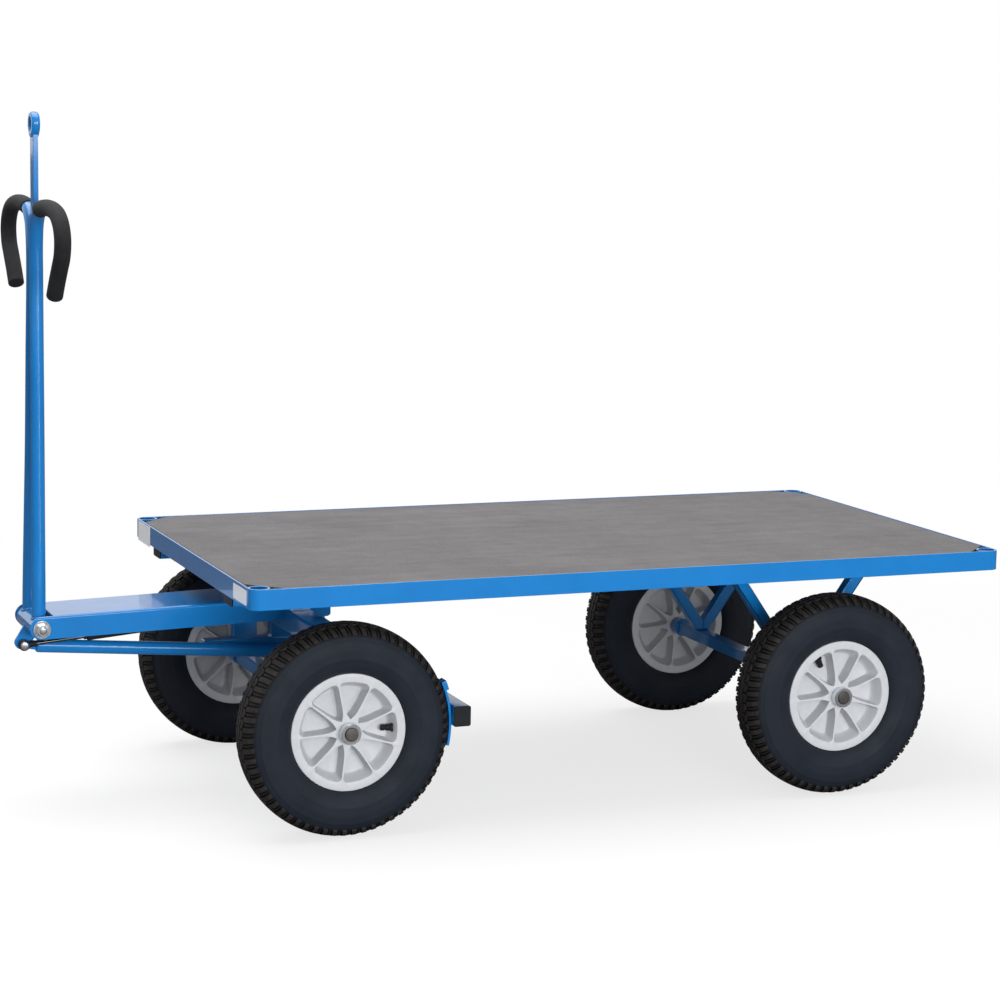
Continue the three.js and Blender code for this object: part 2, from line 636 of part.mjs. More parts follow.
const rimFloor = 10;
const rimHalf = [
  [bearingRadius + 0.4, hubHalfLength], [hubRadius, hubHalfLength], [hubRadius + 1, rimFloor],
  [spokeTipRadius - 2, rimFloor], [spokeTipRadius, rimHalfWidth], [rimFlangeRadius, rimHalfWidth],
  [rimFlangeRadius, rimHalfWidth - 4], [rimFlangeRadius - 14, rimHalfWidth - 4],
];
const rimProfile = [
  ...rimHalf.map(([radius, y]) => [radius, -y]),
  ...rimHalf.map(([radius, y]) => [radius, y]).reverse(),
];

// The spokes taper from the hub to the outer ring and run through the thin floor of the rim.
function rimSolid() {
  let rim = solidOf(ringAboutY(rimProfile, rimSides, 0, 0));
  for (let i = 0; i < spokeCount; i += 1) {
    const spoke = plateXZ([
      [hubRadius - 3, -spokeRootHalf], [spokeTipRadius, -spokeTipHalf],
      [spokeTipRadius, spokeTipHalf], [hubRadius - 3, spokeRootHalf],
    ], -rimHalfWidth + 4, rimHalfWidth - 4);
    spoke.rotateY(-spokePhase - 2 * Math.PI * i / spokeCount);
    rim = rim.add(solidOf(spoke));
  }
  return geometryOf(rim);
}
const rimGeometry = rimSolid();

for (const [endName, x] of [['front', frontAxleX], ['rear', rearAxleX]]) {
  for (const [sideName, side] of handed) {
    const wheel = new THREE.Group();
    wheel.position.set(x, side * wheelY, axleZ);
    const pieces = [
      ['tyre', ringAboutY(tyreProfile, tyreSides, 0, 0), rubber],
      ['rim', rimGeometry.clone(), rimPlastic],
      ['bearing', cut(cylinderY(bearingRadius, -hubHalfLength + 1, hubHalfLength - 1, 0, 0, 20),
        cylinderY(axleRadius + 0.5, -50, 50, 0, 0, 20)), steel],
    ];
    for (const [kind, geometry, material] of pieces) {
      const name = `${endName}_${sideName}_${kind}`;
      const mesh = new THREE.Mesh(geometry, material(name));
      mesh.name = name;
      wheel.add(mesh);
    }
    trolley.add(wheel);
  }
}

export default trolley;
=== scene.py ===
"""The looks of the platform trolley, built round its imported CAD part. Blender 4.5."""

import json
import math

import bmesh
import bpy
from mathutils import Matrix, Vector
from mathutils.geometry import tessellate_polygon


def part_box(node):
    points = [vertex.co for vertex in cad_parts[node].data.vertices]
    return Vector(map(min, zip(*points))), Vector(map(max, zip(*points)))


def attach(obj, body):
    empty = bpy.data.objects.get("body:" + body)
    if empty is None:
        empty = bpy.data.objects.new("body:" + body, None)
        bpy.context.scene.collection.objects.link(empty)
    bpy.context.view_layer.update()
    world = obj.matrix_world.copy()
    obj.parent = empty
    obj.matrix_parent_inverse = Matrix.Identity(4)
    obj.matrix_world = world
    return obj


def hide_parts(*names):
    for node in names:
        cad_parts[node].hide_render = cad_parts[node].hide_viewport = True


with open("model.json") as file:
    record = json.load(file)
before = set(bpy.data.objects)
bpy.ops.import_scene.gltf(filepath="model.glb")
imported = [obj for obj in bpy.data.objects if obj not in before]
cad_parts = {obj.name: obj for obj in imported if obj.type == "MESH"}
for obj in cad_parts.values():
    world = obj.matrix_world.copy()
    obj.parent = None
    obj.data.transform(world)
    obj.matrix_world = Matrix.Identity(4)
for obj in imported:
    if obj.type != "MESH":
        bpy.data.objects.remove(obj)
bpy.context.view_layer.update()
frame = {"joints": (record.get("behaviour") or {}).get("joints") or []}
joint_at = {j["name"]: Vector(j["pos_m"]) for j in frame["joints"] if "pos_m" in j}

# Everything below is laid out in millimetres with X measured from the middle of the deck.
MM = 0.001
GAP = 0.3    # between pieces that touch
deck_middle = (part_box("front_rail")[0].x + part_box("rear_rail")[1].x) / 2
SIDES = (("left", -1), ("right", 1))
ENDS = (("front", -1), ("rear", 1))


def layout(point):
    """A point of the part's frame, in metres, as layout millimetres."""
    return Vector(((point.x - deck_middle) / MM, point.y / MM, point.z / MM))


def span(node):
    """The lowest and highest corner of a CAD node, in layout millimetres."""
    lo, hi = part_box(node)
    return layout(lo), layout(hi)


# ------------------------------------------------------------------ shapes
class Shape:
    """Vertices in millimetres and faces that index them. Shapes add up."""

    def __init__(self, verts=(), faces=()):
        self.verts = [Vector(v) for v in verts]
        self.faces = [tuple(f) for f in faces]

    def __add__(self, other):
        shift = len(self.verts)
        return Shape(
            self.verts + other.verts,
            self.faces + [tuple(i + shift for i in f) for f in other.faces],
        )

    def moved(self, x=0.0, y=0.0, z=0.0):
        offset = Vector((x, y, z))
        return Shape([v + offset for v in self.verts], self.faces)

    def turned(self, axis, degrees):
        turn = Matrix.Rotation(math.radians(degrees), 3, axis)
        return Shape([turn @ v for v in self.verts], self.faces)

    def by(self, matrix):
        return Shape([matrix @ v for v in self.verts], self.faces)

    def mirrored(self, x=1, y=1, z=1):
        return Shape([Vector((v.x * x, v.y * y, v.z * z)) for v in self.verts], self.faces)


def clamp(value):
    return max(0.0, min(1.0, value))


def on_axis(axis, w, u, v):
    """A point from its place along an axis and its two other coordinates in order."""
    return {"x": (w, u, v), "y": (u, w, v), "z": (u, v, w)}[axis]


def distances(path):
    """How far each point of a path is from its start."""
    along = [0.0]
    for a, b in zip(path, path[1:]):
        along.append(along[-1] + (b - a).length)
    return along


def find(along, w):
    """The path's segment that holds a distance, and the fraction of the segment before it."""
    i = max(k for k in range(len(along) - 1) if along[k] <= w + 1e-9)
    return i, (w - along[i]) / (along[i + 1] - along[i])


def point_at(path, along, w):
    i, t = find(along, w)
    return path[i].lerp(path[i + 1], t)


def strip(low, high, count, closed=True):
    """Quads between two rows of vertices that start at these indices."""
    ends = [(i, (i + 1) % count) for i in range(count if closed else count - 1)]
    return [(low + i, low + j, high + j, high + i) for i, j in ends]


def arc(u, v, radius, start, end, steps):
    """Points on an arc, angles in degrees."""
    points = []
    for i in range(steps + 1):
        a = math.radians(start + (end - start) * i / steps)
        points.append((u + radius * math.cos(a), v + radius * math.sin(a)))
    return points


def circle(u, v, radius, steps=48):
    return arc(u, v, radius, 0, 360 * (steps - 1) / steps, steps - 1)


def rounded(u0, u1, v0, v1, radius, steps=5):
    """A rectangle with round corners, counter-clockwise."""
    r = radius
    return (
        arc(u1 - r, v0 + r, r, -90, 0, steps)
        + arc(u1 - r, v1 - r, r, 0, 90, steps)
        + arc(u0 + r, v1 - r, r, 90, 180, steps)
        + arc(u0 + r, v0 + r, r, 180, 270, steps)
    )


def softened(corners, radius, steps=5):
    """A counter-clockwise polygon with rounded corners. A corner is (u, v) or (u, v, its own radius)."""
    points = []
    count = len(corners)
    for i, corner in enumerate(corners):
        here = Vector(corner[:2])
        r = corner[2] if len(corner) > 2 else radius
        back = (Vector(corners[i - 1][:2]) - here).normalized()
        ahead = (Vector(corners[(i + 1) % count][:2]) - here).normalized()
        half = back.angle(ahead) / 2
        if r < 0.01 or half > math.radians(89):
            points.append(tuple(here))
            continue
        centre = here + (back + ahead).normalized() * (r / math.sin(half))
        reach = r / math.tan(half)
        first = here + back * reach - centre
        last = here + ahead * reach - centre
        turn = first.angle_signed(last)
        for k in range(steps + 1):
            p = first.copy()
            p.rotate(Matrix.Rotation(-turn * k / steps, 2))
            points.append(tuple(centre + p))
    return points


def inset(loop, distance):
    """The loop moved to its left: into the material for an outline, which runs counter-clockwise,
    and for a hole, which runs clockwise."""
    moved = []
    count = len(loop)
    for i in range(count):
        here = Vector(loop[i])
        before = (here - Vector(loop[i - 1])).normalized()
        after = (Vector(loop[(i + 1) % count]) - here).normalized()
        n0 = Vector((-before.y, before.x))
        n1 = Vector((-after.y, after.x))
        moved.append(here + (n0 + n1) * (distance / max(0.2, 1 + n0.dot(n1))))
    return moved


def slab(outline, w0, w1, edge=0.8, holes=(), axis="z", steps=2):
    """A plate between w0 and w1 along an axis, its outline in the other two axes, with rounded rims."""
    loops = [list(outline)] + [list(reversed(hole)) for hole in holes]
    levels = []
    for k in range(steps + 1):
        a = math.pi / 2 * (1 - k / steps)
        levels.append((w0 + edge * (1 - math.sin(a)), edge * (1 - math.cos(a))))
    for k in range(steps + 1):
        a = math.pi / 2 * k / steps
        levels.append((w1 - edge * (1 - math.sin(a)), edge * (1 - math.cos(a))))
    rings = [[inset(loop, depth) if depth else [Vector(p) for p in loop] for loop in loops]
             for w, depth in levels]
    verts, starts = [], []
    for (w, depth), ring in zip(levels, rings):
        starts.append([])
        for loop in ring:
            starts[-1].append(len(verts))
            verts += [on_axis(axis, w, p.x, p.y) for p in loop]
    faces = []
    for low, high in zip(starts, starts[1:]):
        for a, b, loop in zip(low, high, loops):
            faces += strip(a, b, len(loop))
    for level in (0, -1):
        flat = [[Vector((p.x, p.y, 0)) for p in loop] for loop in rings[level]]
        faces += [tuple(starts[level][0] + i for i in tri) for tri in tessellate_polygon(flat)]
    return Shape(verts, faces)


def lathe(profile, axis="y", segments=64, closed=True):
    """A profile of (radius, place along the axis) turned about an axis through the origin."""
    verts, faces = [], []
    rows = len(profile)
    for s in range(segments):
        a = 2 * math.pi * s / segments
        c, d = math.cos(a), math.sin(a)
        verts += [on_axis(axis, w, r * c, r * d) for r, w in profile]
        faces += strip(s * rows, (s + 1) % segments * rows, rows, closed)
    return Shape(verts, faces)


def turned_solid(points, axis="y", segments=64):
    """A solid turned from a profile that starts and ends on the axis."""
    return lathe([(0.0, points[0][1])] + list(points) + [(0.0, points[-1][1])], axis, segments, closed=False)


def rod(radius, w0, w1, edge=1.0, axis="y", segments=40, steps=3):
    """A round bar with rounded rims."""
    rim = [(radius - edge + edge * math.sin(a), edge * (1 - math.cos(a))) for a in
           (math.pi / 2 * k / steps for k in range(steps + 1))]
    low = [(r, w0 + d) for r, d in rim]
    high = [(r, w1 - d) for r, d in reversed(rim)]
    return turned_solid(low + high, axis, segments)


def catmull(route, per_span=8):
    """Points on a centripetal Catmull-Rom curve through the route, as in the CAD part."""
    pts = [Vector(p) for p in route]
    pts = [2 * pts[0] - pts[1]] + pts + [2 * pts[-1] - pts[-2]]
    out = []
    for p0, p1, p2, p3 in zip(pts, pts[1:], pts[2:], pts[3:]):
        d0, d1, d2 = (math.sqrt((b - a).length) for a, b in ((p0, p1), (p1, p2), (p2, p3)))
        m1 = ((p1 - p0) / d0 - (p2 - p0) / (d0 + d1) + (p2 - p1) / d1) * d1
        m2 = ((p2 - p1) / d1 - (p3 - p1) / (d1 + d2) + (p3 - p2) / d2) * d1
        for k in range(per_span):
            t = k / per_span
            out.append(
                p1 * (2 * t**3 - 3 * t**2 + 1) + m1 * (t**3 - 2 * t**2 + t)
                + p2 * (3 * t**2 - 2 * t**3) + m2 * (t**3 - t**2)
            )
    out.append(pts[-2])
    return out


def sweep(path, radius, segments=28, closed=False):
    """A round section along a path. The radius is a number or a function of the distance along the path."""
    path = [Vector(p) for p in path]
    count = len(path)
    along = distances(path)
    normal, verts, faces = None, [], []
    for i, p in enumerate(path):
        before = path[i - 1] if closed or i else p
        after = path[(i + 1) % count] if closed or i < count - 1 else p
        forward = (after - before).normalized()
        if normal is None:
            normal = forward.orthogonal().normalized()
        normal = (normal - forward * normal.dot(forward)).normalized()
        side = forward.cross(normal)
        r = radius(along[i]) if callable(radius) else radius
        for s in range(segments):
            a = 2 * math.pi * s / segments
            verts.append(p + (normal * math.cos(a) + side * math.sin(a)) * r)
    for i in range(count if closed else count - 1):
        faces += strip(i * segments, (i + 1) % count * segments, segments)
    if not closed:
        faces.append(tuple(range(segments)))
        faces.append(tuple((count - 1) * segments + s for s in range(segments)))
    return Shape(verts, faces)


def weld(path, radius=2.4, closed=False, pitch=3.2):
    """A weld bead: a thin sweep that swells at every ripple."""
    path = [Vector(p) for p in path]
    return sweep(path, lambda w: radius * (1 + 0.13 * math.sin(2 * math.pi * w / pitch)), 10, closed)


def box_tube(u, v, w, h, wall, w0, w1, axis, corner=3.5, edge=0.5):
    """A square or rectangular tube with rounded corners, open at both ends, about (u, v)."""
    outer = rounded(u - w / 2, u + w / 2, v - h / 2, v + h / 2, corner, 4)
    c = max(0.6, corner - wall)
    inner = rounded(u - w / 2 + wall, u + w / 2 - wall, v - h / 2 + wall, v + h / 2 - wall, c, 4)
    return slab(outer, w0, w1, edge, [inner], axis)


def block(x0, x1, y0, y1, z0, z1, corner=2.0, edge=1.0, axis="z"):
    """A bar with rounded edges all round."""
    ends = {"x": (x0, x1), "y": (y0, y1), "z": (z0, z1)}
    section = [limit for name, pair in ends.items() if name != axis for limit in pair]
    return slab(rounded(*section, corner, 4), *ends[axis], edge, axis=axis)


def hexagon(flats, u=0.0, v=0.0, turn=0.0):
    """A hexagon by its width across the flats."""
    return arc(u, v, flats / math.sqrt(3), turn, turn + 300, 5)


# ------------------------------------------------------------------ pieces
SHARP = 35                # degrees between two faces from which their edge is sharp
SAME_POINT = 2e-6         # metres
FLAT_FACE_LIMIT = 9000    # faces


def keep_flat(mesh, sharp):
    """Shading normals that follow the larger faces, so a flat face stays flat up to its softened edge."""
    limit = math.cos(math.radians(sharp))
    normals = [face.normal.copy() for face in mesh.polygons]
    areas = [face.area for face in mesh.polygons]
    around = [[] for _ in mesh.vertices]
    for face in mesh.polygons:
        for corner in face.vertices:
            around[corner].append(face.index)
    wanted = []
    for face in mesh.polygons:
        own = normals[face.index]
        for corner in face.vertices:
            total = Vector()
            for other in around[corner]:
                if normals[other].dot(own) > limit:
                    total += normals[other] * areas[other]
            wanted.append(total.normalized())
    mesh.normals_split_custom_set(wanted)


def mesh_of(name, shape, sharp=SHARP):
    """A clean mesh, in metres, from a shape. Only meshes of a moderate size get the flat-face normals."""
    mesh = bpy.data.meshes.new(name)
    mesh.from_pydata([v * MM for v in shape.verts], [], shape.faces)
    form = bmesh.new()
    form.from_mesh(mesh)
    bmesh.ops.remove_doubles(form, verts=form.verts, dist=SAME_POINT)
    bmesh.ops.recalc_face_normals(form, faces=form.faces)
    form.to_mesh(mesh)
    form.free()
    mesh.shade_smooth()
    mesh.set_sharp_from_angle(angle=math.radians(sharp))
    if len(mesh.polygons) < FLAT_FACE_LIMIT:
        keep_flat(mesh, sharp)
    return mesh


def place(name, mesh, body, look, stands_for=(), at=(0.0, 0.0, 0.0)):
    """A piece at a point in layout millimetres, riding on its body."""
    obj = bpy.data.objects.new(name, mesh)
    bpy.context.scene.collection.objects.link(obj)
    obj.location = (at[0] * MM + deck_middle, at[1] * MM, at[2] * MM)
    if not mesh.materials:
        mesh.materials.append(look.material)
    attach(obj, body)
    if stands_for:
        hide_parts(*stands_for)
    return obj


def piece(name, shape, body, look, *stands_for):
    return place(name, mesh_of(name, shape), body, look, stands_for)


def carved(name, base, cutters, keepers=(), edge=0.8):
    """A shape with others cut from it (or kept only inside others), and its edges rounded."""
    def temp(label, shape):
        obj = bpy.data.objects.new(label, mesh_of(label, shape))
        bpy.context.scene.collection.objects.link(obj)
        return obj

    work = temp(name + "_work", base)
    tools = [(temp(f"{name}_tool{i}", s), "DIFFERENCE") for i, s in enumerate(cutters)]
    tools += [(temp(f"{name}_keep{i}", s), "INTERSECT") for i, s in enumerate(keepers)]
    for tool, operation in tools:
        step = work.modifiers.new(tool.name, "BOOLEAN")
        step.operation = operation
        step.solver = "EXACT"
        step.object = tool
    if edge:
        bevel = work.modifiers.new("edges", "BEVEL")
        bevel.width = edge * MM
        bevel.segments = 2
        bevel.limit_method = "ANGLE"
        bevel.angle_limit = math.radians(40)
        bevel.use_clamp_overlap = True
    graph = bpy.context.evaluated_depsgraph_get()
    mesh = bpy.data.meshes.new_from_object(work.evaluated_get(graph))
    mesh.name = name
    for obj in [work] + [tool for tool, operation in tools]:
        old = obj.data
        bpy.data.objects.remove(obj)
        bpy.data.meshes.remove(old)
    mesh.materials.clear()
    mesh.shade_smooth()
    mesh.set_sharp_from_angle(angle=math.radians(SHARP))
    keep_flat(mesh, SHARP)
    return mesh


# ------------------------------------------------------------------ the tyre's cross-section
TYRE_RADIUS = 206.5
# The wall from the bead up to the crown: (radius, y).
TYRE_WALL = [(101, 31), (108, 33.0), (113.4, 34.4), (115.2, 37.5), (118, 41.2), (124, 45.6), (136, 49.8),
             (152, 52.2), (166, 52.4), (180, 49.9), (190, 45.6), (198, 38.2), (203, 28.5), (205.8, 15),
             (TYRE_RADIUS, 0)]


def tyre_profile():
    """The section's points from the crown down to the bead, and how far each is from the crown."""
    curve = catmull([(r, y, 0) for r, y in reversed(TYRE_WALL)], 12)
    curve[0] = Vector((TYRE_RADIUS, 0, 0))
    return curve, distances(curve)


def walk(curve, along, w):
    """The point and outward normal at a distance from the crown, mirrored for a negative distance."""
    sign, w = (-1 if w < 0 else 1), abs(w)
    i, t = find(along, w)
    p = curve[i].lerp(curve[i + 1], min(t, 1))
    d = (curve[i + 1] - curve[i]).normalized()
    n = Vector((d.y, -d.x))
    if n.x < 0 and w < 60:
        n = -n
    return Vector((p.x, p.y * sign)), Vector((n.x, n.y * sign))


# ------------------------------------------------------------------ materials
class Look:
    """A procedural material, and the name of the record's slot that it is meant for, kept with it."""

    def __init__(self, name, slot, color, roughness, metallic=0.0, **inputs):
        self.material = bpy.data.materials.new(name)
        self.material.use_nodes = True
        self.material.diffuse_color = (*color, 1)
        self.tree = self.material.node_tree
        self.shader = self.tree.nodes["Principled BSDF"]
        self.slot = slot
        self.set(self.shader, {"Base Color": (*color, 1), "Roughness": roughness, "Metallic": metallic})
        self.set(self.shader, {key.replace("_", " "): value for key, value in inputs.items()})

    @staticmethod
    def set(node, values):
        for key, value in values.items():
            node.inputs[key].default_value = value

    def node(self, kind, values=None, **fields):
        node = self.tree.nodes.new("ShaderNode" + kind)
        for key, value in fields.items():
            setattr(node, key, value)
        self.set(node, values or {})
        return node

    def link(self, out, into):
        self.tree.links.new(out, into)

    def object_space(self, stretch=(1, 1, 1)):
        """Object coordinates in metres, stretched."""
        coords = self.node("TexCoord")
        mapping = self.node("Mapping", {"Scale": stretch})
        self.link(coords.outputs["Object"], mapping.inputs["Vector"])
        return mapping.outputs["Vector"]

    def noise(self, size, detail=3.0, roughness=0.55, stretch=(1, 1, 1)):
        """Noise with features of about this size, in millimetres."""
        node = self.node("TexNoise", {"Scale": 1 / (size * MM), "Detail": detail, "Roughness": roughness})
        self.link(self.object_space(stretch), node.inputs["Vector"])
        return node.outputs["Fac"]

    def ramp(self, value, stops):
        """A colour ramp. A stop is a position with a colour or a grey."""
        node = self.node("ValToRGB")
        marks = node.color_ramp.elements
        while len(marks) < len(stops):
            marks.new(0.5)
        for mark, (position, color) in zip(marks, stops):
            mark.position = position
            mark.color = (*color, 1) if isinstance(color, tuple) else (color, color, color, 1)
        self.link(value, node.inputs["Fac"])
        return node.outputs["Color"]

    def mix(self, fac, a, b):
        """A mix of two colours. Each argument is a socket or a value."""
        node = self.node("Mix", data_type="RGBA")
        for value, socket in ((fac, node.inputs["Factor"]), (a, node.inputs["A"]), (b, node.inputs["B"])):
            socket = [s for s in node.inputs if s.name == socket.name and s.enabled][0]
            if isinstance(value, bpy.types.NodeSocket):
                self.link(value, socket)
            else:
                socket.default_value = value if isinstance(value, (int, float)) else (*value, 1)
        return [s for s in node.outputs if s.enabled][0]

    def calc(self, operation, *values):
        """A sum on sockets."""
        node = self.node("Math", operation=operation)
        for value, socket in zip(values, node.inputs):
            self.link(value, socket)
        return node.outputs["Value"]

    def map(self, value, low, high, a=0.0, b=1.0):
        """The value carried from the range a to b over to the range low to high."""
        node = self.node("MapRange", {"From Min": a, "From Max": b, "To Min": low, "To Max": high})
        self.link(value, node.inputs["Value"])
        return node.outputs["Result"]

    def base(self, color):
        self.link(color, self.shader.inputs["Base Color"])

    def rough(self, value, low, high):
        self.link(self.map(value, low, high), self.shader.inputs["Roughness"])

    def bump(self, height, depth):
        """Relief of this depth, in millimetres, on top of any relief already there."""
        node = self.node("Bump", {"Distance": depth * MM, "Strength": 1.0})
        self.link(height, node.inputs["Height"])
        old = self.shader.inputs["Normal"].links
        if old:
            self.link(old[0].from_socket, node.inputs["Normal"])
        self.link(node.outputs["Normal"], self.shader.inputs["Normal"])


def layer(look, size, color_amount, rough_low, rough_high, bump_size, bump_depth):
    """Gentle colour mottling, roughness variation and surface relief shared by the plain finishes."""
    tone = look.noise(size)
    dark = tuple(c * (1 - color_amount) for c in look.material.diffuse_color[:3])
    light = tuple(min(1, c * (1 + color_amount)) for c in look.material.diffuse_color[:3])
    look.base(look.ramp(tone, [(0.3, dark), (0.7, light)]))
    look.rough(look.noise(size * 0.4), rough_low, rough_high)
    look.bump(look.noise(bump_size, 2.0), bump_depth)


paint = Look("blue_powder_coat", "blue_paint", (0.006, 0.152, 0.43), 0.36,
             Coat_Weight=0.9, Coat_Roughness=0.07, Specular_IOR_Level=0.15)
layer(paint, 90, 0.045, 0.26, 0.36, 2.2, 0.012)

board = Look("film_faced_plywood", "deck_plywood", (0.13, 0.122, 0.127), 0.6, Specular_IOR_Level=0.2)
grain = board.noise(30, 6.0, 0.6, (0.12, 1.0, 1.0))
cloud = board.noise(260, 4.0, 0.6)
speckle = board.noise(5.0, 5.0, 0.75)
tone = board.mix(0.5, board.mix(0.5, grain, cloud), speckle)
board.base(board.ramp(tone, [(0.38, (0.052, 0.047, 0.050)), (0.62, (0.134, 0.126, 0.131))]))
board.rough(board.noise(45, 5.0), 0.36, 0.5)
board.bump(board.noise(1.6, 2.0), 0.12)
board.bump(board.noise(18, 3.0, 0.5, (0.25, 1, 1)), 0.06)

rubber = Look("tyre_rubber", "tyre_rubber", (0.006, 0.009, 0.02), 0.62, Specular_IOR_Level=0.28)
# Dust lies on the lugs: where the surface is close to the crown's own curve. All in metres here.
coords = rubber.node("TexCoord")
flat = rubber.node("VectorMath", {1: (1, 0, 1)}, operation="MULTIPLY")
rubber.link(coords.outputs["Object"], flat.inputs[0])
length = rubber.node("VectorMath", operation="LENGTH")
rubber.link(flat.outputs["Vector"], length.inputs[0])
from_axle = length.outputs["Value"]
sides = rubber.node("SeparateXYZ")
rubber.link(coords.outputs["Object"], sides.inputs[0])
# The crown's curve, with both of its scales brought to 0 to 1.
crown_width, crown_low, crown_high = 0.060, 0.160, 0.210
crown = rubber.node("FloatCurve")
across = rubber.map(rubber.calc("ABSOLUTE", sides.outputs["Y"]), 0.0, 1.0, 0.0, crown_width)
rubber.link(across, crown.inputs["Value"])
spots = [walk(*tyre_profile(), distance)[0] * MM for distance in range(0, 55, 9)]
spots = [(spot.y / crown_width, (spot.x - crown_low) / (crown_high - crown_low)) for spot in spots]
crown_points = crown.mapping.curves[0].points
crown_points[0].location = spots[0]
crown_points[-1].location = (1, 0)
for spot in spots[1:]:
    crown_points.new(*spot)
crown.mapping.update()
lift = rubber.calc("SUBTRACT", from_axle, rubber.map(crown.outputs["Value"], crown_low, crown_high))
dusty = rubber.map(lift, 0.0, 1.0, -0.0030, -0.0012)
inner = rubber.map(from_axle, 0.0, 1.0, 0.183, 0.192)
patches = rubber.ramp(rubber.noise(14, 5.0, 0.65), [(0.35, 0.35), (0.65, 1.0)])
dust = rubber.calc("MULTIPLY", rubber.calc("MULTIPLY", dusty, inner), patches)
wall = rubber.ramp(rubber.noise(60, 4.0),
                   [(0.3, (0.0070, 0.0100, 0.0160)), (0.7, (0.0115, 0.0150, 0.0225))])
# In the tread band the rubber under the dust is painted near-black, darker than the wall rubber: painted
# shade in the grooves.
groove = rubber.mix(inner, wall, (0.0025, 0.003, 0.004))
rubber.base(rubber.mix(dust, groove, (0.026, 0.0222, 0.020)))
rubber.rough(rubber.noise(25), 0.55, 0.72)
rubber.bump(rubber.noise(1.6, 3.0), 0.06)

rim_look = Look("rim_plastic", "rim_plastic", (0.44, 0.455, 0.475), 0.42, Coat_Weight=0.1)
layer(rim_look, 12, 0.035, 0.38, 0.5, 1.6, 0.05)

black = Look("black_plastic", "black_plastic", (0.010, 0.011, 0.013), 0.5, Specular_IOR_Level=0.25)
layer(black, 30, 0.15, 0.42, 0.58, 0.9, 0.03)

foam = Look("grip_foam", "grip_foam", (0.016, 0.017, 0.020), 0.85)
foam.base(foam.ramp(foam.noise(25, 4.0), [(0.3, (0.006, 0.0062, 0.0072)), (0.7, (0.0105, 0.011, 0.013))]))
cells = foam.node("TexVoronoi", {"Scale": 1 / (1.3 * MM)})
foam.link(foam.object_space(), cells.inputs["Vector"])
foam.rough(foam.noise(5), 0.75, 0.95)
foam.bump(cells.outputs["Distance"], 0.12)

zinc = Look("zinc_plate", "zinc_plate", (0.70, 0.725, 0.75), 0.3, 1.0)
layer(zinc, 8, 0.08, 0.24, 0.36, 1.6, 0.004)

steel = Look("bare_steel", "bare_steel", (0.20, 0.185, 0.175), 0.42, 1.0)
layer(steel, 6, 0.2, 0.34, 0.52, 0.8, 0.02)
steel.bump(steel.noise(0.6, 2.0, 0.5, (1, 0.15, 1)), 0.006)

rod_steel = Look("polished_rod", "bare_steel", (0.16, 0.155, 0.15), 0.16, 1.0)
layer(rod_steel, 20, 0.05, 0.12, 0.22, 1.5, 0.004)

blank = Look("blank_sticker", "rim_plastic", (0.93, 0.935, 0.95), 0.35, Coat_Weight=0.3)
layer(blank, 20, 0.02, 0.28, 0.4, 3.0, 0.01)

# ------------------------------------------------------------------ deck frame and board
front_lo, front_hi = span("front_rail")
half_length, half_width = span("rear_rail")[1].xy
frame_bottom, deck_top = front_lo.z, front_hi.z
frame_wall = 4
socket_radius, socket_bore = 21.2, 17
socket_x, socket_y = half_length - socket_radius, half_width - socket_radius
board_thickness = 18
ledge_top = deck_top - board_thickness - GAP
ledge_bottom, ledge_reach, ledge_ends = ledge_top - 4, 34, (40, 44)

wall_x, wall_y = half_length - frame_wall, half_width - frame_wall
meet = math.degrees(math.asin((socket_radius - frame_wall) / socket_radius))
inner = []
for sx, sy, turn in ((1, 1, 0), (-1, 1, 90), (-1, -1, 180), (1, -1, 270)):
    inner += arc(sx * socket_x, sy * socket_y, socket_radius, turn + meet - 90, turn - meet - 180, 20)
outer = rounded(-half_length, half_length, -half_width, half_width, socket_radius, 12)
bores = [circle(sx * socket_x, sy * socket_y, socket_bore, 40) for sx in (-1, 1) for sy in (-1, 1)]
deck_frame = slab(outer, frame_bottom, deck_top, 1.0, [inner] + bores, steps=3)
for s in (-1, 1):
    x = sorted((s * (wall_x + 1), s * (half_length - ledge_reach)))
    y = half_width - ledge_ends[0]
    deck_frame += block(*x, -y, y, ledge_bottom, ledge_top, 0.6, 0.5)
    y = sorted((s * (wall_y + 1), s * (half_width - ledge_reach)))
    x = half_length - ledge_ends[1]
    deck_frame += block(-x, x, *y, ledge_bottom, ledge_top, 0.6, 0.5)
piece("deck_frame", deck_frame, "chassis", paint, "front_rail", "rear_rail", "left_rail", "right_rail")

board_lo, board_hi = span("deck_panel")
bx, by, cut = board_hi.x, board_hi.y, 62
board_outline = softened(
    [(bx - cut, -by), (bx, cut - by), (bx, by - cut), (bx - cut, by),
     (cut - bx, by), (-bx, by - cut), (-bx, cut - by), (cut - bx, -by)], 3, 3)
piece("deck_board", slab(board_outline, board_lo.z, board_hi.z - 0.6, 0.6), "chassis", board, "deck_panel")

# ------------------------------------------------------------------ runners, caps, cross members
def boxed(lo, hi, corner, edge, axis="z"):
    """A bar with rounded edges that fills a box."""
    return block(lo.x, hi.x, lo.y, hi.y, lo.z, hi.z, corner, edge, axis)


def plugged_cap(node, axis, outward, corner):
    """A tube's end cap, and the plug on its inner face that holds it in the tube."""
    tube_wall, plug_depth = 3.6, 12
    lo, hi = span(node)
    cap = boxed(lo, hi, corner, 0.8, axis)
    k = "xyz".index(axis)
    face = lo[k] if outward > 0 else hi[k]
    lo, hi = lo + Vector((1, 1, 1)) * tube_wall, hi - Vector((1, 1, 1)) * tube_wall
    lo[k], hi[k] = sorted((face, face - outward * plug_depth))
    return cap + boxed(lo, hi, 2, 0.4, axis)


def boxed_tube(lo, hi, axis, corner):
    """A square tube of 3 mm wall that fills a box along an axis."""
    k = "xyz".index(axis)
    u, v = [i for i in range(3) if i != k]
    middle, size = (lo + hi) / 2, hi - lo
    return box_tube(middle[u], middle[v], size[u], size[v], 3, lo[k], hi[k], axis, corner)


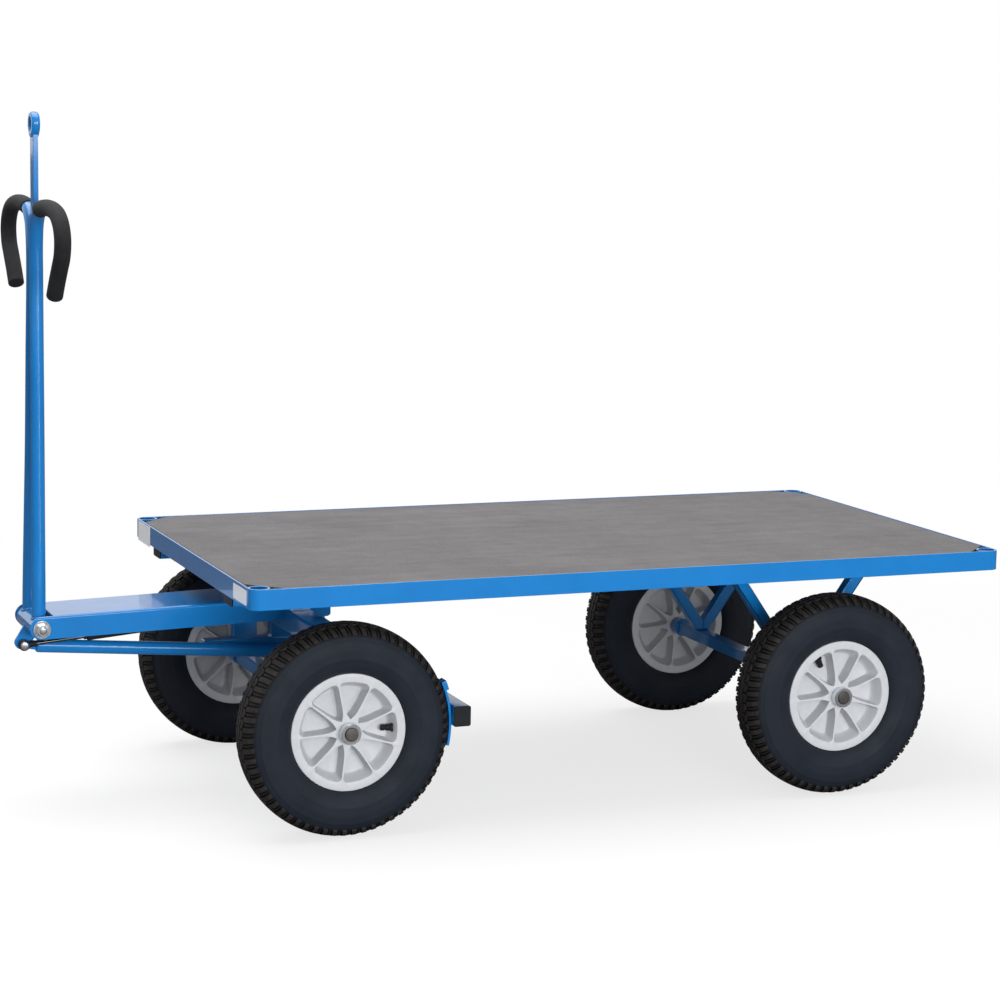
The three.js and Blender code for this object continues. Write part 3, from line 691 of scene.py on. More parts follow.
for side, direction in SIDES:
    node = f"{side}_runner"
    piece(f"{node}_tube", boxed_tube(*span(node), "x", 5), "chassis", paint, node)
    for end, outward in ENDS:
        node = f"{end}_{side}_end_cap"
        piece(f"{node}_plug", plugged_cap(node, "x", outward, 5), "chassis", black, node)

for node in ("front_cross_member", "rear_cross_member"):
    piece(f"{node}_tube", boxed_tube(*span(node), "y", 4), "chassis", paint, node)

# ------------------------------------------------------------------ turntable
def bolt(x, y, z, up, flats, height):
    """A bolt head with its washer, standing off a flat at z."""
    head = slab(hexagon(flats, x, y), 0, height, 0.8) + slab(circle(x, y, flats * 0.72, 32), -0.2, 2.2, 0.4)
    return head.mirrored(z=up).moved(z=z)


lo, hi = span("turntable_plate")
turn_x = (lo.x + hi.x) / 2
piece("turntable_mounting_plate", boxed(lo, hi, 8, 0.6), "chassis", paint, "turntable_plate")
ulo, uhi = span("turntable_upper_ring")
llo, lhi = span("turntable_lower_ring")
ring_out, ring_in = (uhi.x - ulo.x) / 2, 55
race = ring_out - 22
upper = lathe([(ring_in, uhi.z), (ring_in, uhi.z - 5), (ring_out - 6.5, uhi.z - 5), (ring_out - 6, uhi.z - 6),
               (ring_out - 6, ulo.z + 0.8), (ring_out - 5.2, ulo.z), (ring_out - 0.8, ulo.z),
               (ring_out, ulo.z + 0.8), (ring_out, uhi.z - 1.5), (ring_out - 1.5, uhi.z)], "z", 96)
lower = lathe([(ring_in, llo.z + 5), (ring_in, llo.z + 0.6), (ring_in + 0.6, llo.z), (ring_out - 0.8, llo.z),
               (ring_out, llo.z + 0.8), (ring_out, llo.z + 4.2), (ring_out - 0.8, llo.z + 5),
               (race + 6.6, llo.z + 5), (race + 6, llo.z + 5.6), (race + 6, lhi.z - 0.8), (race + 5.2, lhi.z),
               (race + 0.8, lhi.z), (race, lhi.z - 0.8), (race, llo.z + 5.6), (race - 0.6, llo.z + 5)],
              "z", 96)
piece("turntable_race_upper", upper.moved(turn_x), "chassis", paint, "turntable_upper_ring")
piece("turntable_race_lower", lower.moved(turn_x), "bogie", paint, "turntable_lower_ring")
ring_bolts = Shape()
for x, y in arc(turn_x, 0, 78, 22.5, 22.5 + 7 * 45, 7):
    ring_bolts += bolt(x, y, uhi.z - 5.2, -1, 13, 7)
piece("turntable_ring_bolts", ring_bolts, "chassis", zinc)

# ------------------------------------------------------------------ axles, axle beams, collars
def axle_group(end, body):
    lo, hi = span(f"{end}_axle")
    x, z, radius = (lo.x + hi.x) / 2, (lo.z + hi.z) / 2, (hi.x - lo.x) / 2
    piece(f"{end}_axle_shaft", rod(radius, lo.y, hi.y, 1.6, segments=48).moved(x, 0, z), body, steel,
          f"{end}_axle")
    lo, hi = span(f"{end}_axle_beam")
    beam_half, size, boss_radius = 318, 28, 18.5
    beam = block(x - size / 2, x + size / 2, -beam_half, beam_half, z - size / 2, z + size / 2, 3, 1, "y")
    y0, y1, bore = beam_half - 5, hi.y, radius + GAP
    boss = lathe([(bore, y0), (boss_radius, y0), (boss_radius, y1 - 0.8), (boss_radius - 0.8, y1),
                  (bore, y1)], "y", 56)
    for side, direction in SIDES:
        beam += boss.mirrored(y=direction).moved(x, 0, z)
        y = direction * (beam_half + 0.5)
        beam += weld([(u, y, v) for u, v in circle(x, z, boss_radius - 0.3)], 2.2, True)
    piece(f"{end}_axle_carrier", beam, body, paint, f"{end}_axle_beam")
    for side, direction in SIDES:
        node = f"{end}_{side}_collar"
        lo, hi = span(node)
        r = (hi.x - lo.x) / 2
        ring = lathe([(radius + 0.4, lo.y + 0.8), (radius + 1.2, lo.y), (r - 1.2, lo.y), (r, lo.y + 1.2),
                      (r, hi.y - 1.2), (r - 1.2, hi.y), (radius + 1.2, hi.y), (radius + 0.4, hi.y - 0.8)],
                     "y", 64)
        screw = lathe([(1.9, 0), (1.9, 4.2), (3.1, 4.6), (3.1, -1), (1.9, -1)], "z", 20)
        screw += slab(hexagon(3.6), -1, 1.5, 0.1)
        ring += screw.moved(0, (lo.y + hi.y) / 2, r - 4).turned("Y", 25)
        piece(f"{node}_ring", ring.moved(x, 0, z), body, zinc, node)


axle_group("front", "bogie")
axle_group("rear", "chassis")

# ------------------------------------------------------------------ rear struts
strut_width, strut_slope = 25, 0.7
rear_x = (span("rear_axle")[0].x + span("rear_axle")[1].x) / 2
for side, direction in SIDES:
    for end, along in ENDS:
        node = f"rear_{side}_{end}_strut"
        lo, hi = span(node)
        foot, head = lo.z, hi.z
        half = strut_width / 2 / math.cos(math.atan(strut_slope))
        top_x = (lo.x + half) if along < 0 else (hi.x - half)
        mitre = rear_x + along * GAP / 2
        outline = [(mitre, foot), (rear_x + along * half, foot), (top_x + along * half, head),
                   (top_x - along * half, head), (mitre, foot + (half - GAP) / strut_slope)]
        if along < 0:
            outline.reverse()
        strut = slab(softened(outline, 0.4, 1), lo.y, hi.y, 3.0, axis="y", steps=4)
        x0, x1, y0, y1 = top_x - half - 0.5, top_x + half + 0.5, lo.y - 0.5, hi.y + 0.5
        seam = softened([(x0, y0), (x1, y0), (x1, y1), (x0, y1)], 4, 5)
        loop = [Vector((*p, head - 0.2)) for p in seam]
        dense = []
        for a, b in zip(loop, loop[1:] + loop[:1]):
            steps = max(1, int((b - a).length / 1.2))
            dense += [a.lerp(b, k / steps) for k in range(steps)]
        strut += weld(dense, 2.2, True)
        piece(f"{node}_tube", strut, "chassis", paint, node)

# ------------------------------------------------------------------ bolster, posts, guide bar
front_x = (span("front_axle")[0].x + span("front_axle")[1].x) / 2
lo, hi = span("bolster")
bolster_bottom = span("left_bogie_post")[1].z + GAP
bolster_top = bolster_bottom + 46
bolster = box_tube(front_x, (bolster_bottom + bolster_top) / 2, 52, 46, 4, lo.y, hi.y, "y", 5)
for s in (-1, 1):
    bolster += block(front_x - 25, front_x + 25, s * 100 - 20, s * 100 + 20, bolster_top - 1, hi.z, 2, 0.8)
guide_top = lo.z + 20
bolster += block(-763, -560, 16, 46, lo.z, guide_top, 3, 2.0, "x")
bolster += block(front_x - 22, front_x + 22, 17, 45, guide_top - 1, bolster_bottom + 1, 2, 1)
piece("bolster_tube", bolster, "bogie", paint, "bolster")
for side, direction in SIDES:
    node = f"{side}_bogie_post"
    piece(f"{node}_plate", boxed(*span(node), 2.5, 0.6), "bogie", paint, node)

# ------------------------------------------------------------------ drawbar beam: a folded channel
hinge = layout(joint_at["drawbar_hinge"])
beam_lo, beam_hi = span("drawbar_beam")
beam_width = beam_hi.y - beam_lo.y
beam_wall, beam_drop, beam_height, beam_length, beam_slope = 4, 20, 45, 585.5, 1.5
top = beam_height - beam_drop
half = beam_width / 2
mid = beam_height / 2 - beam_drop
bend = 5.5
bend_y, bend_z = half - bend, top - bend
inner_y, inner_bend = half - beam_wall, bend - beam_wall
fold = (
    [(-half, -beam_drop)] + arc(-bend_y, bend_z, bend, 180, 90, 6)
    + arc(bend_y, bend_z, bend, 90, 0, 6) + [(half, -beam_drop)]
    + [(inner_y, -beam_drop)] + arc(bend_y, bend_z, inner_bend, 0, 90, 3)
    + arc(-bend_y, bend_z, inner_bend, 90, 180, 3) + [(-inner_y, -beam_drop)]
)
fold.reverse()
channel = slab(fold, -24, beam_length, 0.01, axis="x", steps=1)
tail = block(beam_length - beam_wall, beam_length, 1.5 - half, half - 1.5, 2 - beam_drop, top - 1.5,
             1, 0.3, "x")
side_outline = softened(
    arc(0, mid, beam_height / 2, 90, 270, 24)
    + [(beam_length, -beam_drop, 8), (beam_length, top, 0)], 0)
silhouette = slab(side_outline, -half - 5, half + 5, 0.01, axis="y", steps=1)
tilt = Matrix.Translation(hinge) @ Matrix.Rotation(math.radians(-beam_slope), 4, "Y")
mouth = slab(rounded(-40, 24, -inner_y, inner_y, 3, 4), -60, 60, 0.01)
passage = block(front_x - 26 - GAP, front_x + 26 + GAP, -beam_width, beam_width,
                bolster_bottom - 20, bolster_top + GAP, 0.5, 0.1, "y")
hole = rod(8.3, -beam_width, beam_width, 0.1).moved(hinge.x, 0, hinge.z)
beam_mesh = carved("drawbar_channel", channel.by(tilt), [mouth.by(tilt), passage, hole],
                   [silhouette.by(tilt)], edge=0.7)
place("drawbar_channel", beam_mesh, "bogie", paint, ["drawbar_beam"])
pin_lo, pin_hi = span("lever_pin")
pin_x, pin_z = (pin_lo.x + pin_hi.x) / 2, (pin_lo.z + pin_hi.z) / 2
# The gas spring's rear pivot sits on a lug inside the beam.
pivot_x = 345 + pin_x - hinge.x
tail += block(pivot_x - 8, pivot_x + 8, -34, -31, -16, top - 2, 3, 0.6, "y")
piece("drawbar_channel_tail", tail.by(tilt), "bogie", paint)

# ------------------------------------------------------------------ hinge bolt
ear = half + GAP
washer_radius, washer_thickness, nut_height, nut_flats = 17.5, 3, 8.6, 22
bolt_parts = rod(7, -ear - 15, ear + 14.5, 2.4)
for s in (-1, 1):
    w0, w1 = sorted((s * ear, s * (ear + washer_thickness)))
    bolt_parts += lathe([(8.2, w0), (washer_radius - 0.6, w0), (washer_radius, w0 + 0.6),
                         (washer_radius, w1 - 0.6), (washer_radius - 0.6, w1), (8.2, w1)], "y", 56)
    w = sorted((s * (ear + washer_thickness), s * (ear + washer_thickness + nut_height)))
    bolt_parts += slab(hexagon(nut_flats, turn=12), *w, 1.0, axis="y", steps=3)
piece("hinge_bolt_set", bolt_parts.moved(hinge.x, 0, hinge.z), "bogie", zinc, "hinge_bolt")

# ------------------------------------------------------------------ hinge barrel and lever plate
barrel_half = inner_y - 0.6
barrel_radius, barrel_bore = 21, 8.6
barrel = lathe([(barrel_bore, 0.6 - barrel_half), (barrel_bore + 0.6, -barrel_half),
                (barrel_radius - 1, -barrel_half), (barrel_radius, 1 - barrel_half),
                (barrel_radius, barrel_half - 1), (barrel_radius - 1, barrel_half),
                (barrel_bore + 0.6, barrel_half), (barrel_bore, barrel_half - 0.6)], "y", 72)
barrel = barrel.moved(hinge.x, 0, hinge.z)
lever_end = Vector((pin_x - 3, pin_z + 4))
axis_at = Vector((hinge.x, hinge.z))
away = math.degrees(math.atan2(lever_end.y - axis_at.y, lever_end.x - axis_at.x))
lever_y0, lever_y1 = -11.5, -5.5
lever_outline = arc(*lever_end, 14, away - 90, away + 90, 16) + arc(*axis_at, 18, away + 90, away + 270, 12)
lever = slab(lever_outline, lever_y0, lever_y1, 0.9, [circle(pin_x, pin_z, 5.3, 28)], "y")
beads = Shape()
seam = arc(hinge.x, hinge.z, barrel_radius, away - 55, away + 55, 40)
for y in (lever_y0 - 0.5, lever_y1 + 0.5):
    beads += weld([(u, y, v) for u, v in seam], 2.3)
piece("hinge_barrel_tube", barrel + lever + beads, "drawbar", paint, "hinge_barrel")

head_y = pin_lo.y
pin = rod(5, head_y + 2, 8, 0.6, segments=32)
pin += turned_solid([(8.5, head_y + 4), (8.5, head_y + 1.6), (7.4, head_y + 0.6), (4.5, head_y)], "y", 48)
pin += slab(hexagon(14.5, turn=10), 5, pin_hi.y, 0.8, axis="y")
piece("lever_pin_rivet", pin.moved(pin_x, 0, pin_z), "drawbar", zinc, "lever_pin")

# ------------------------------------------------------------------ drawbar legs, grips and towing eye
leg_route = [
    (-1111.5, 46.8, 386), (-1111, 45.2, 430), (-1109, 36.8, 575), (-1107, 28.5, 720),
    (-1105.5, 20.8, 900), (-1104, 14.4, 1050), (-1104, 15.2, 1110), (-1104, 27, 1153),
    (-1104, 56, 1175), (-1104, 98, 1181), (-1104, 140, 1182), (-1104, 184, 1179),
    (-1104, 221, 1170), (-1104, 248, 1151), (-1104, 258.5, 1127), (-1104, 252, 1099),
    (-1104, 230, 1074), (-1104, 206, 1048), (-1104, 183, 1020),
]
leg_radius, grip_radius = 13.45, 15.8
grip_start, leg_end = 1 - 13 / 42, 0.988    # as parts of the path's length


def cut_path(path, start, end):
    """The part of a path between two fractions of its length."""
    along = distances(path)
    first, last = start * along[-1], end * along[-1]
    middle = [p for p, w in zip(path, along) if first + 0.5 < w < last - 0.5]
    return [point_at(path, along, first)] + middle + [point_at(path, along, last)]


def rim_ends(path, radius, edge_start, edge_end, steps=5):
    """A sweep whose two rims are rounded."""
    along = distances(path)
    length = along[-1]
    marks = sorted({edge_start * (1 - math.cos(math.pi / 2 * k / steps)) for k in range(steps + 1)}
                   | {length - edge_end * (1 - math.cos(math.pi / 2 * k / steps)) for k in range(steps + 1)})
    inside = [w for w in (3.0 * k for k in range(int(length / 3) + 1)) if edge_start < w < length - edge_end]
    marks = sorted(marks + inside)
    points = [point_at(path, along, max(0, w - 1e-3)) if w < length else path[-1] for w in marks]

    def at(w):
        if w < edge_start:
            return radius - edge_start + math.sqrt(max(0, edge_start**2 - (edge_start - w) ** 2))
        if w > length - edge_end:
            d = w - length + edge_end
            return radius - edge_end + math.sqrt(max(0, edge_end**2 - d**2))
        return radius

    return sweep(points, at, 40)


for side, direction in SIDES:
    route = [Vector((x, direction * y, z)) for x, y, z in leg_route]
    path = catmull(route, 8)
    grip = rim_ends(cut_path(path, grip_start, 1), grip_radius, 4, 1.6)
    path[0] = path[0] - Vector((0, 0, 8))
    leg = sweep(cut_path(path, 0, leg_end), leg_radius, 36)
    bead = []
    for dx, dy in circle(0, 0, leg_radius, 72):
        on_barrel = hinge.z + math.sqrt(barrel_radius**2 - dx**2)
        bead.append((hinge.x + dx * 1.03, route[0].y + dy * 1.03, on_barrel + 0.3))
    leg += weld(bead, 2.2, True)
    piece(f"{side}_drawbar_tube", leg, "drawbar", paint, f"{side}_drawbar_leg")
    piece(f"{side}_foam_grip", grip, "drawbar", foam, f"{side}_grip")

eye_lo, eye_hi = span("towing_eye")
eye_x, eye_radius, eye_bore = (eye_lo.x + eye_hi.x) / 2, 23.5, 12.5
eye_z = eye_hi.z - eye_radius
fork_z = 1118
near_side = [(3, fork_z), (10, fork_z + 22), (15, fork_z + 44), (15, eye_z - 20), (8, eye_z - 14)]
far_side = [(-y, z) for y, z in reversed(near_side)]
neck = softened(near_side + far_side, 1.5, 3)
eye = slab(neck, eye_x - 5, eye_x + 5, 1.2, axis="x")
front_half = [(eye_radius, 3), (eye_radius - 0.8, 5.8), (eye_radius - 3, 8), (eye_bore + 2.6, 8),
              (eye_bore, 5.4)]
back_half = [(r, -w) for r, w in reversed(front_half)]
eye += lathe(back_half + front_half, "x", 72).moved(eye_x, 0, eye_z)
for face in (-1, 1):
    seam = arc(0, eye_z, eye_radius, 225, 315, 30)
    eye += weld([(eye_x + face * 5.2, y, z) for y, z in seam], 2.0)
    for direction in (-1, 1):
        eye += weld([(eye_x + face * 5, direction * (3 + 12 * (k / 20) ** 0.85), fork_z + 4 + 42 * k / 20)
                     for k in range(21)], 2.4)
piece("towing_eye_neck", eye, "drawbar", paint, "towing_eye")

# ------------------------------------------------------------------ gas spring
spring_y = (span("gas_spring_rod")[0].y + span("gas_spring_rod")[1].y) / 2
spring_slope = -5.07
spring_turn = Matrix.Rotation(math.radians(spring_slope), 4, "Y")
spring_tilt = Matrix.Translation((pin_x, spring_y, pin_z)) @ spring_turn
eye_part = lathe([(5.5, -5), (6, -5.5), (10, -5.5), (11, -4.5), (11, 4.5), (10, 5.5), (6, 5.5), (5.5, 5)],
                 "y", 48)
eye_part += turned_solid([(6, 7), (6, 23), (5, 24)], "x", 40)
piece("gas_spring_eye", eye_part.by(spring_tilt), "gas_rod", black, "gas_spring_rod")
piece("gas_spring_shaft", rod(4, 22, 164, 0.5, "x", 32).by(spring_tilt), "gas_rod", rod_steel)
cylinder = turned_solid([(5.2, 118), (6, 118.8), (6, 123.4), (7.6, 124), (9, 125.6), (9, 325), (7.8, 327.4),
                         (5, 328), (5, 351.4), (4.4, 352)], "x", 48)
piece("gas_spring_body", cylinder.by(spring_tilt), "gas_cylinder", black, "gas_spring_cylinder")

# ------------------------------------------------------------------ brake tube, bar and shoes
bar_lo, bar_hi = span("brake_bar")
tube_front = Vector((-1109, 0, 321))
tube_rear = Vector((bar_hi.x - 4, 0, bar_hi.z + 18))
fall = math.degrees(math.atan2(tube_front.z - tube_rear.z, tube_rear.x - tube_front.x))
length = (tube_rear - tube_front).length
tube = turned_solid([(7, 0), (10.6, 0.8), (12.6, 2.6), (13.45, 5.4), (13.45, length - 0.8), (12.6, length),
                     (11, length), (11, length - 12)], "x", 56)
tube = tube.turned("Y", fall).moved(*tube_front)
tongue = softened(arc(pin_x, pin_z, 9, 60, 240, 12) + [(tube_front.x + 5, tube_front.z - 9),
                                                         (tube_front.x + 5, tube_front.z + 10)], 0)
tube += slab(tongue, lever_y1 + GAP, lever_y1 + GAP + 6, 0.7, [circle(pin_x, pin_z, 5.5, 28)], "y")
tube += block(bar_lo.x + 2, bar_hi.x - 2, -12, 12, bar_hi.z + GAP, tube_rear.z - 2, 1.5, 0.6)
piece("brake_push_tube", tube, "brake", paint, "brake_tube")
piece("brake_cross_bar", boxed_tube(bar_lo, bar_hi, "y", 4), "brake", paint, "brake_bar")
wheel_z = (span("front_axle")[0].z + span("front_axle")[1].z) / 2
shoe_radius, shoe_thickness, rib_half = 207.3, 5, 14


def curved_plate(r0, r1, low, high, y0, y1, edge, steps):
    """A plate bent round the front axle, between two radii and two angles."""
    outline = arc(front_x, wheel_z, r0, high, low, steps) + arc(front_x, wheel_z, r1, low, high, steps)
    return slab(outline, y0, y1, edge, axis="y")


for side, direction in SIDES:
    node = f"{side}_brake_bar_cap"
    piece(f"{node}_plug", plugged_cap(node, "y", direction, 4), "brake", black, node)
    lo, hi = span(f"{side}_brake_shoe")
    y = (lo.y + hi.y) / 2
    shoe = curved_plate(shoe_radius, shoe_radius + shoe_thickness, -12, 23, lo.y, hi.y, 0.8, 30)
    shoe += curved_plate(shoe_radius + 4, shoe_radius + 13, 17, 22, y - rib_half, y + rib_half, 1.2, 4)
    piece(f"{side}_brake_shoe_plate", shoe, "brake", paint, f"{side}_brake_shoe")

# ------------------------------------------------------------------ stickers without print
sticker_x = front_lo.x


def sticker(y0, y1, z0, z1):
    return slab(rounded(y0, y1, z0, z1, 3, 5), sticker_x - 0.3, sticker_x + 0.2, 0.1, axis="x")


piece("left_blank_sticker", sticker(-421, -330, 460, 489), "chassis", blank)
piece("right_blank_sticker", sticker(318, 422, 450.5, 493), "chassis", blank)

# ------------------------------------------------------------------ wheels
TYRE_PITCHES = 62
COLUMNS = [0, 0.2, 0.23, 0.31, 0.34, 0.48, 0.505, 0.6, 0.625, 0.83, 0.86, 0.975]
TREAD_ROWS = [0, 4.2, 5, 8.2, 9, 13, 17.4, 18.2, 21.6, 22.4, 28, 34, 40, 46, 48.5, 50.5, 53, 55]


def groove_depth(w, u):
    """How far the tread lies below the crown surface, in millimetres."""
    w = abs(w)
    wall_level = 2.4 * clamp((76 - w) / 20)
    if w < 4.6:
        return 0.0
    if 4.9 < w < 8.3 or 18.1 < w < 21.7:
        return 5.0
    if w < 17.6:
        return 4.0 if 0.22 < u < 0.32 else 0.0
    if w > 54:
        return wall_level
    groove = 5.0 - 2.2 * clamp((w - 28) / 24)
    if 0.5 < u < 0.61 or 0.85 < u < 0.98:
        return groove
    if 0.61 < u < 0.85:
        return 1.6 if w < 47 else min(groove, 2.6)
    return 0.0 if w < 51 else wall_level


def tyre_shape():
    """The tread and both walls as rows of points round the tyre. The last row joins the first inside."""
    curve, along = tyre_profile()
    whole = along[-1]
    wall_rows = [w for w in (58, 64, 65, 67, 68, 76, 86, 96, 97, 99, 100, 108, 114, 120, 126, 130, 134, 139)
                 if w < whole - 3] + [whole - 1.5, whole]
    ridges = {65: 0.3, 67: 0.3, 97: 0.25, 99: 0.25}
    rows = TREAD_ROWS + wall_rows
    rows = [-w for w in reversed(rows[1:])] + rows
    per = len(COLUMNS)
    count = TYRE_PITCHES * per
    verts, faces = [], []
    for w in rows:
        size = abs(w)
        for pitch in range(TYRE_PITCHES):
            for u in COLUMNS:
                sway = 1.8 * math.sin(2 * math.pi * u) if 4 < size < 22.6 else 0.0
                p, n = walk(curve, along, w + sway)
                lean = 0.22 * clamp((size - 22.4) / 30) ** 1.4
                fade = 1 - clamp((size - 55) / 14)
                shift = lean * (1 if w > 0 else -1) * fade
                p = p - n * groove_depth(w, u) + n * ridges.get(size, 0.0)
                a = 2 * math.pi * (pitch + u + shift) / TYRE_PITCHES
                verts.append((p.x * math.cos(a), p.y, p.x * math.sin(a)))
    for i in range(len(rows)):
        faces += strip(i * count, (i + 1) % len(rows) * count, count)
    return Shape(verts, faces)


SPOKES = 9
SPOKE_PHASE = 22.5
RIM_FACE, RIM_FLOOR = 37.3, 10.0
HUB_SEAT, POCKET_RADIUS, FLANGE_START = 23.5, 97.0, 112.5


def spoke_half(r):
    """Half the width of a spoke's face at a radius: narrow outside, flaring into the hub."""
    return 1.7 + 0.012 * (POCKET_RADIUS - r) + 5.6 * math.exp(-(r - 26) / 9)


# How many steps each stretch of a pocket's outline has.
APEX_STEPS, SIDE_STEPS, CORNER_STEPS, TOP_STEPS = 4, 10, 6, 5


def pocket(shrink, deep):
    """Half of a pocket's outline about its middle line, from the hub end to the middle of its outer side."""
    sector = math.pi / SPOKES
    c, s = math.cos(sector), math.sin(sector)
    outer = POCKET_RADIUS - (13.0 if deep else 0.0)
    corner = 6.0 if deep else 8.0

    def edge(r):
        """The pocket's side where the spoke beside it has this radius."""
        h = spoke_half(r) + shrink
        return Vector((r * c + h * s, r * s - h * c))

    inner_r = 20.0
    while edge(inner_r).y < 1.6:
        inner_r += 0.25
    side = [edge(inner_r + (outer - corner * 1.15 - inner_r) * (k / SIDE_STEPS) ** 1.3)
            for k in range(SIDE_STEPS + 1)]
    tip = side[0]
    apex = [(tip.x - 1.5 * math.cos(t) * tip.y / 1.6, tip.y * math.sin(t)) for t in
            (math.pi / 2 * k / APEX_STEPS for k in range(APEX_STEPS))]
    last = side[-1]
    direction = (side[-1] - side[-2]).normalized()
    normal = Vector((direction.y, -direction.x))
    # The round corner moves out along the side until it meets the outer radius.
    low, high = 0.0, corner * 2
    for _ in range(50):
        t = (low + high) / 2
        centre = last + direction * t + normal * corner
        low, high = (low, t) if centre.length + corner > outer else (t, high)
    centre = last + direction * low + normal * corner
    a0 = math.atan2(-normal.y, -normal.x)
    a1 = math.atan2(centre.y, centre.x)
    bend = arc(centre.x, centre.y, corner, math.degrees(a0), math.degrees(a1), CORNER_STEPS)
    top = arc(0, 0, outer, math.degrees(a1), 0, TOP_STEPS)[1:]
    return apex + [tuple(p) for p in side] + bend + top


def stepped_ring(profile, steps):
    """The surface that a profile sweeps round the axle, with this many steps to half a sector."""
    count = 2 * steps * SPOKES
    ring = Shape()
    for pair in zip(profile, profile[1:]):
        ends = [circle(0, 0, r, count) for r, y in pair]
        verts = [(u, y, v) for (r, y), end in zip(pair, ends) for u, v in end]
        ring += Shape(verts, strip(0, count, count))
    return ring


def rim_half():
    """One face of the rim, towards +Y: pockets between the spokes, the hub seat and the rounded flange."""
    face_line, floor_line = pocket(0, False), pocket(3.5, True)
    count = len(face_line)
    sector = math.pi / SPOKES
    c, s = math.cos(sector), math.sin(sector)
    # Each point of the pocket's outline has a partner on the sector's edge: hub, spoke or flange.
    hub_steps, turn_at = APEX_STEPS, APEX_STEPS + SIDE_STEPS + 2
    flange_steps = count - 1 - turn_at
    sector_edge = []
    for i, (x, y) in enumerate(face_line):
        if i <= hub_steps:
            a = sector * i / hub_steps
            sector_edge.append((HUB_SEAT * math.cos(a), HUB_SEAT * math.sin(a)))
        elif i < turn_at:
            along = x * c + y * s
            sector_edge.append((along * c, along * s))
        else:
            a = sector * (count - 1 - i) / flange_steps
            sector_edge.append((FLANGE_START * math.cos(a), FLANGE_START * math.sin(a)))
    # How far the pocket's wall has come inwards and down at each level.
    wall_steps = [(-0.10, 0.0), (-0.04, 0.012), (0.0, 0.05), (0.25, 0.35), (0.5, 0.65), (0.72, 0.86),
                  (0.88, 0.96), (1, 1)]
    levels = [[(x, RIM_FACE, y) for x, y in sector_edge]]
    for inwards, down in wall_steps:
        y = RIM_FACE - (RIM_FACE - RIM_FLOOR) * down
        levels.append([(p[0] + (q[0] - p[0]) * inwards, y, p[1] + (q[1] - p[1]) * inwards)
                       for p, q in zip(face_line, floor_line)])
    faces = []
    for k in range(len(levels) - 1):
        faces += strip(k * count, (k + 1) * count, count, closed=False)
    half_sector = Shape([v for level in levels for v in level], faces)
    floor_ring = levels[-1] + [(x, y, -z) for x, y, z in reversed(levels[-1][1:-1])]
    one = half_sector + half_sector.mirrored(z=-1) + Shape(floor_ring, [tuple(range(len(floor_ring)))])
    whole = Shape()
    for k in range(SPOKES):
        whole += one.turned("Y", 360 / SPOKES * (k + 0.5))
    hub = [(HUB_SEAT, RIM_FACE), (23.3, 37.8), (22.8, 38.0), (18.5, 38.0), (17.7, 37.2), (17.7, 0)]
    flange = [(FLANGE_START, RIM_FACE), (113.3, RIM_FACE - 0.3), (113.8, RIM_FACE - 0.9),
              (113.9, RIM_FACE - 1.8), (113.9, 33.9), (113.5, 33.7), (100.2, 33.6), (100, 33.2), (100, 0)]
    return whole + stepped_ring(hub, hub_steps) + stepped_ring(flange, flange_steps)


rim_face = rim_half()
rim_whole = (rim_face + rim_face.mirrored(y=-1)).turned("Y", -SPOKE_PHASE)
tyre_mesh = mesh_of("tyre_form", tyre_shape(), 32)
rim_mesh = mesh_of("rim_form", rim_whole, 50)
bearing = lathe([(13, -37), (13.6, -37.4), (16.6, -37.4), (17.3, -36.6), (17.3, 36.6), (16.6, 37.4),
                 (13.6, 37.4), (13, 37)], "y", 56)
bearing_mesh = mesh_of("bearing_form", bearing)
VALVE_TURN = {"front": 0.5, "rear": 120.5}
stem = turned_solid([(5.2, -24), (6.0, -23), (6.0, -17), (5.2, -16.2), (5.2, -15), (6.3, -14), (6.6, -6),
                     (8.4, -4), (8.4, 0)], "x", 28)

for end, along in ENDS:
    for side, direction in SIDES:
        hub = layout(joint_at[f"{end}_{side}_wheel_spin"])
        body = f"{end}_{side}_wheel"
        place(f"{body}_tyre", tyre_mesh, body, rubber, [f"{end}_{side}_tyre"], hub)
        place(f"{body}_rim", rim_mesh, body, rim_look, [f"{end}_{side}_rim"], hub)
        place(f"{body}_bearing", bearing_mesh, body, steel, [f"{end}_{side}_bearing"], hub)
        valve = stem.turned("Z", direction * 14).moved(93, direction * 23, 0).turned("Y", -VALVE_TURN[end])
        place(f"{body}_valve", mesh_of(f"{body}_valve", valve), body, black, at=hub)

# ------------------------------------------------------------------ floor, light and camera
def wired(name, surface):
    """A node tree with a shorthand for adding nodes, for the stage."""
    block = (bpy.data.worlds if surface == "World" else bpy.data.materials).new(name)
    block.use_nodes = True
    tree = block.node_tree
    tree.nodes.clear()
    out = tree.nodes.new(f"ShaderNodeOutput{surface}")

    def add(kind, values=None, **links):
        node = tree.nodes.new("ShaderNode" + kind)
        for key, value in (values or {}).items():
            node.inputs[key].default_value = value
        for key, source in links.items():
            target = node.inputs[int(key[1:])] if key[0] == "_" else node.inputs[key]
            tree.links.new(source, target)
        return node

    return block, add, lambda source: tree.links.new(source, out.inputs["Surface"])


floor_mesh = bpy.data.meshes.new("floor")
far = 60.0
floor_mesh.from_pydata([(-far, -far, 0), (far, -far, 0), (far, far, 0), (-far, far, 0)], [], [(0, 1, 2, 3)])
floor = bpy.data.objects.new("floor", floor_mesh)
bpy.context.scene.collection.objects.link(floor)
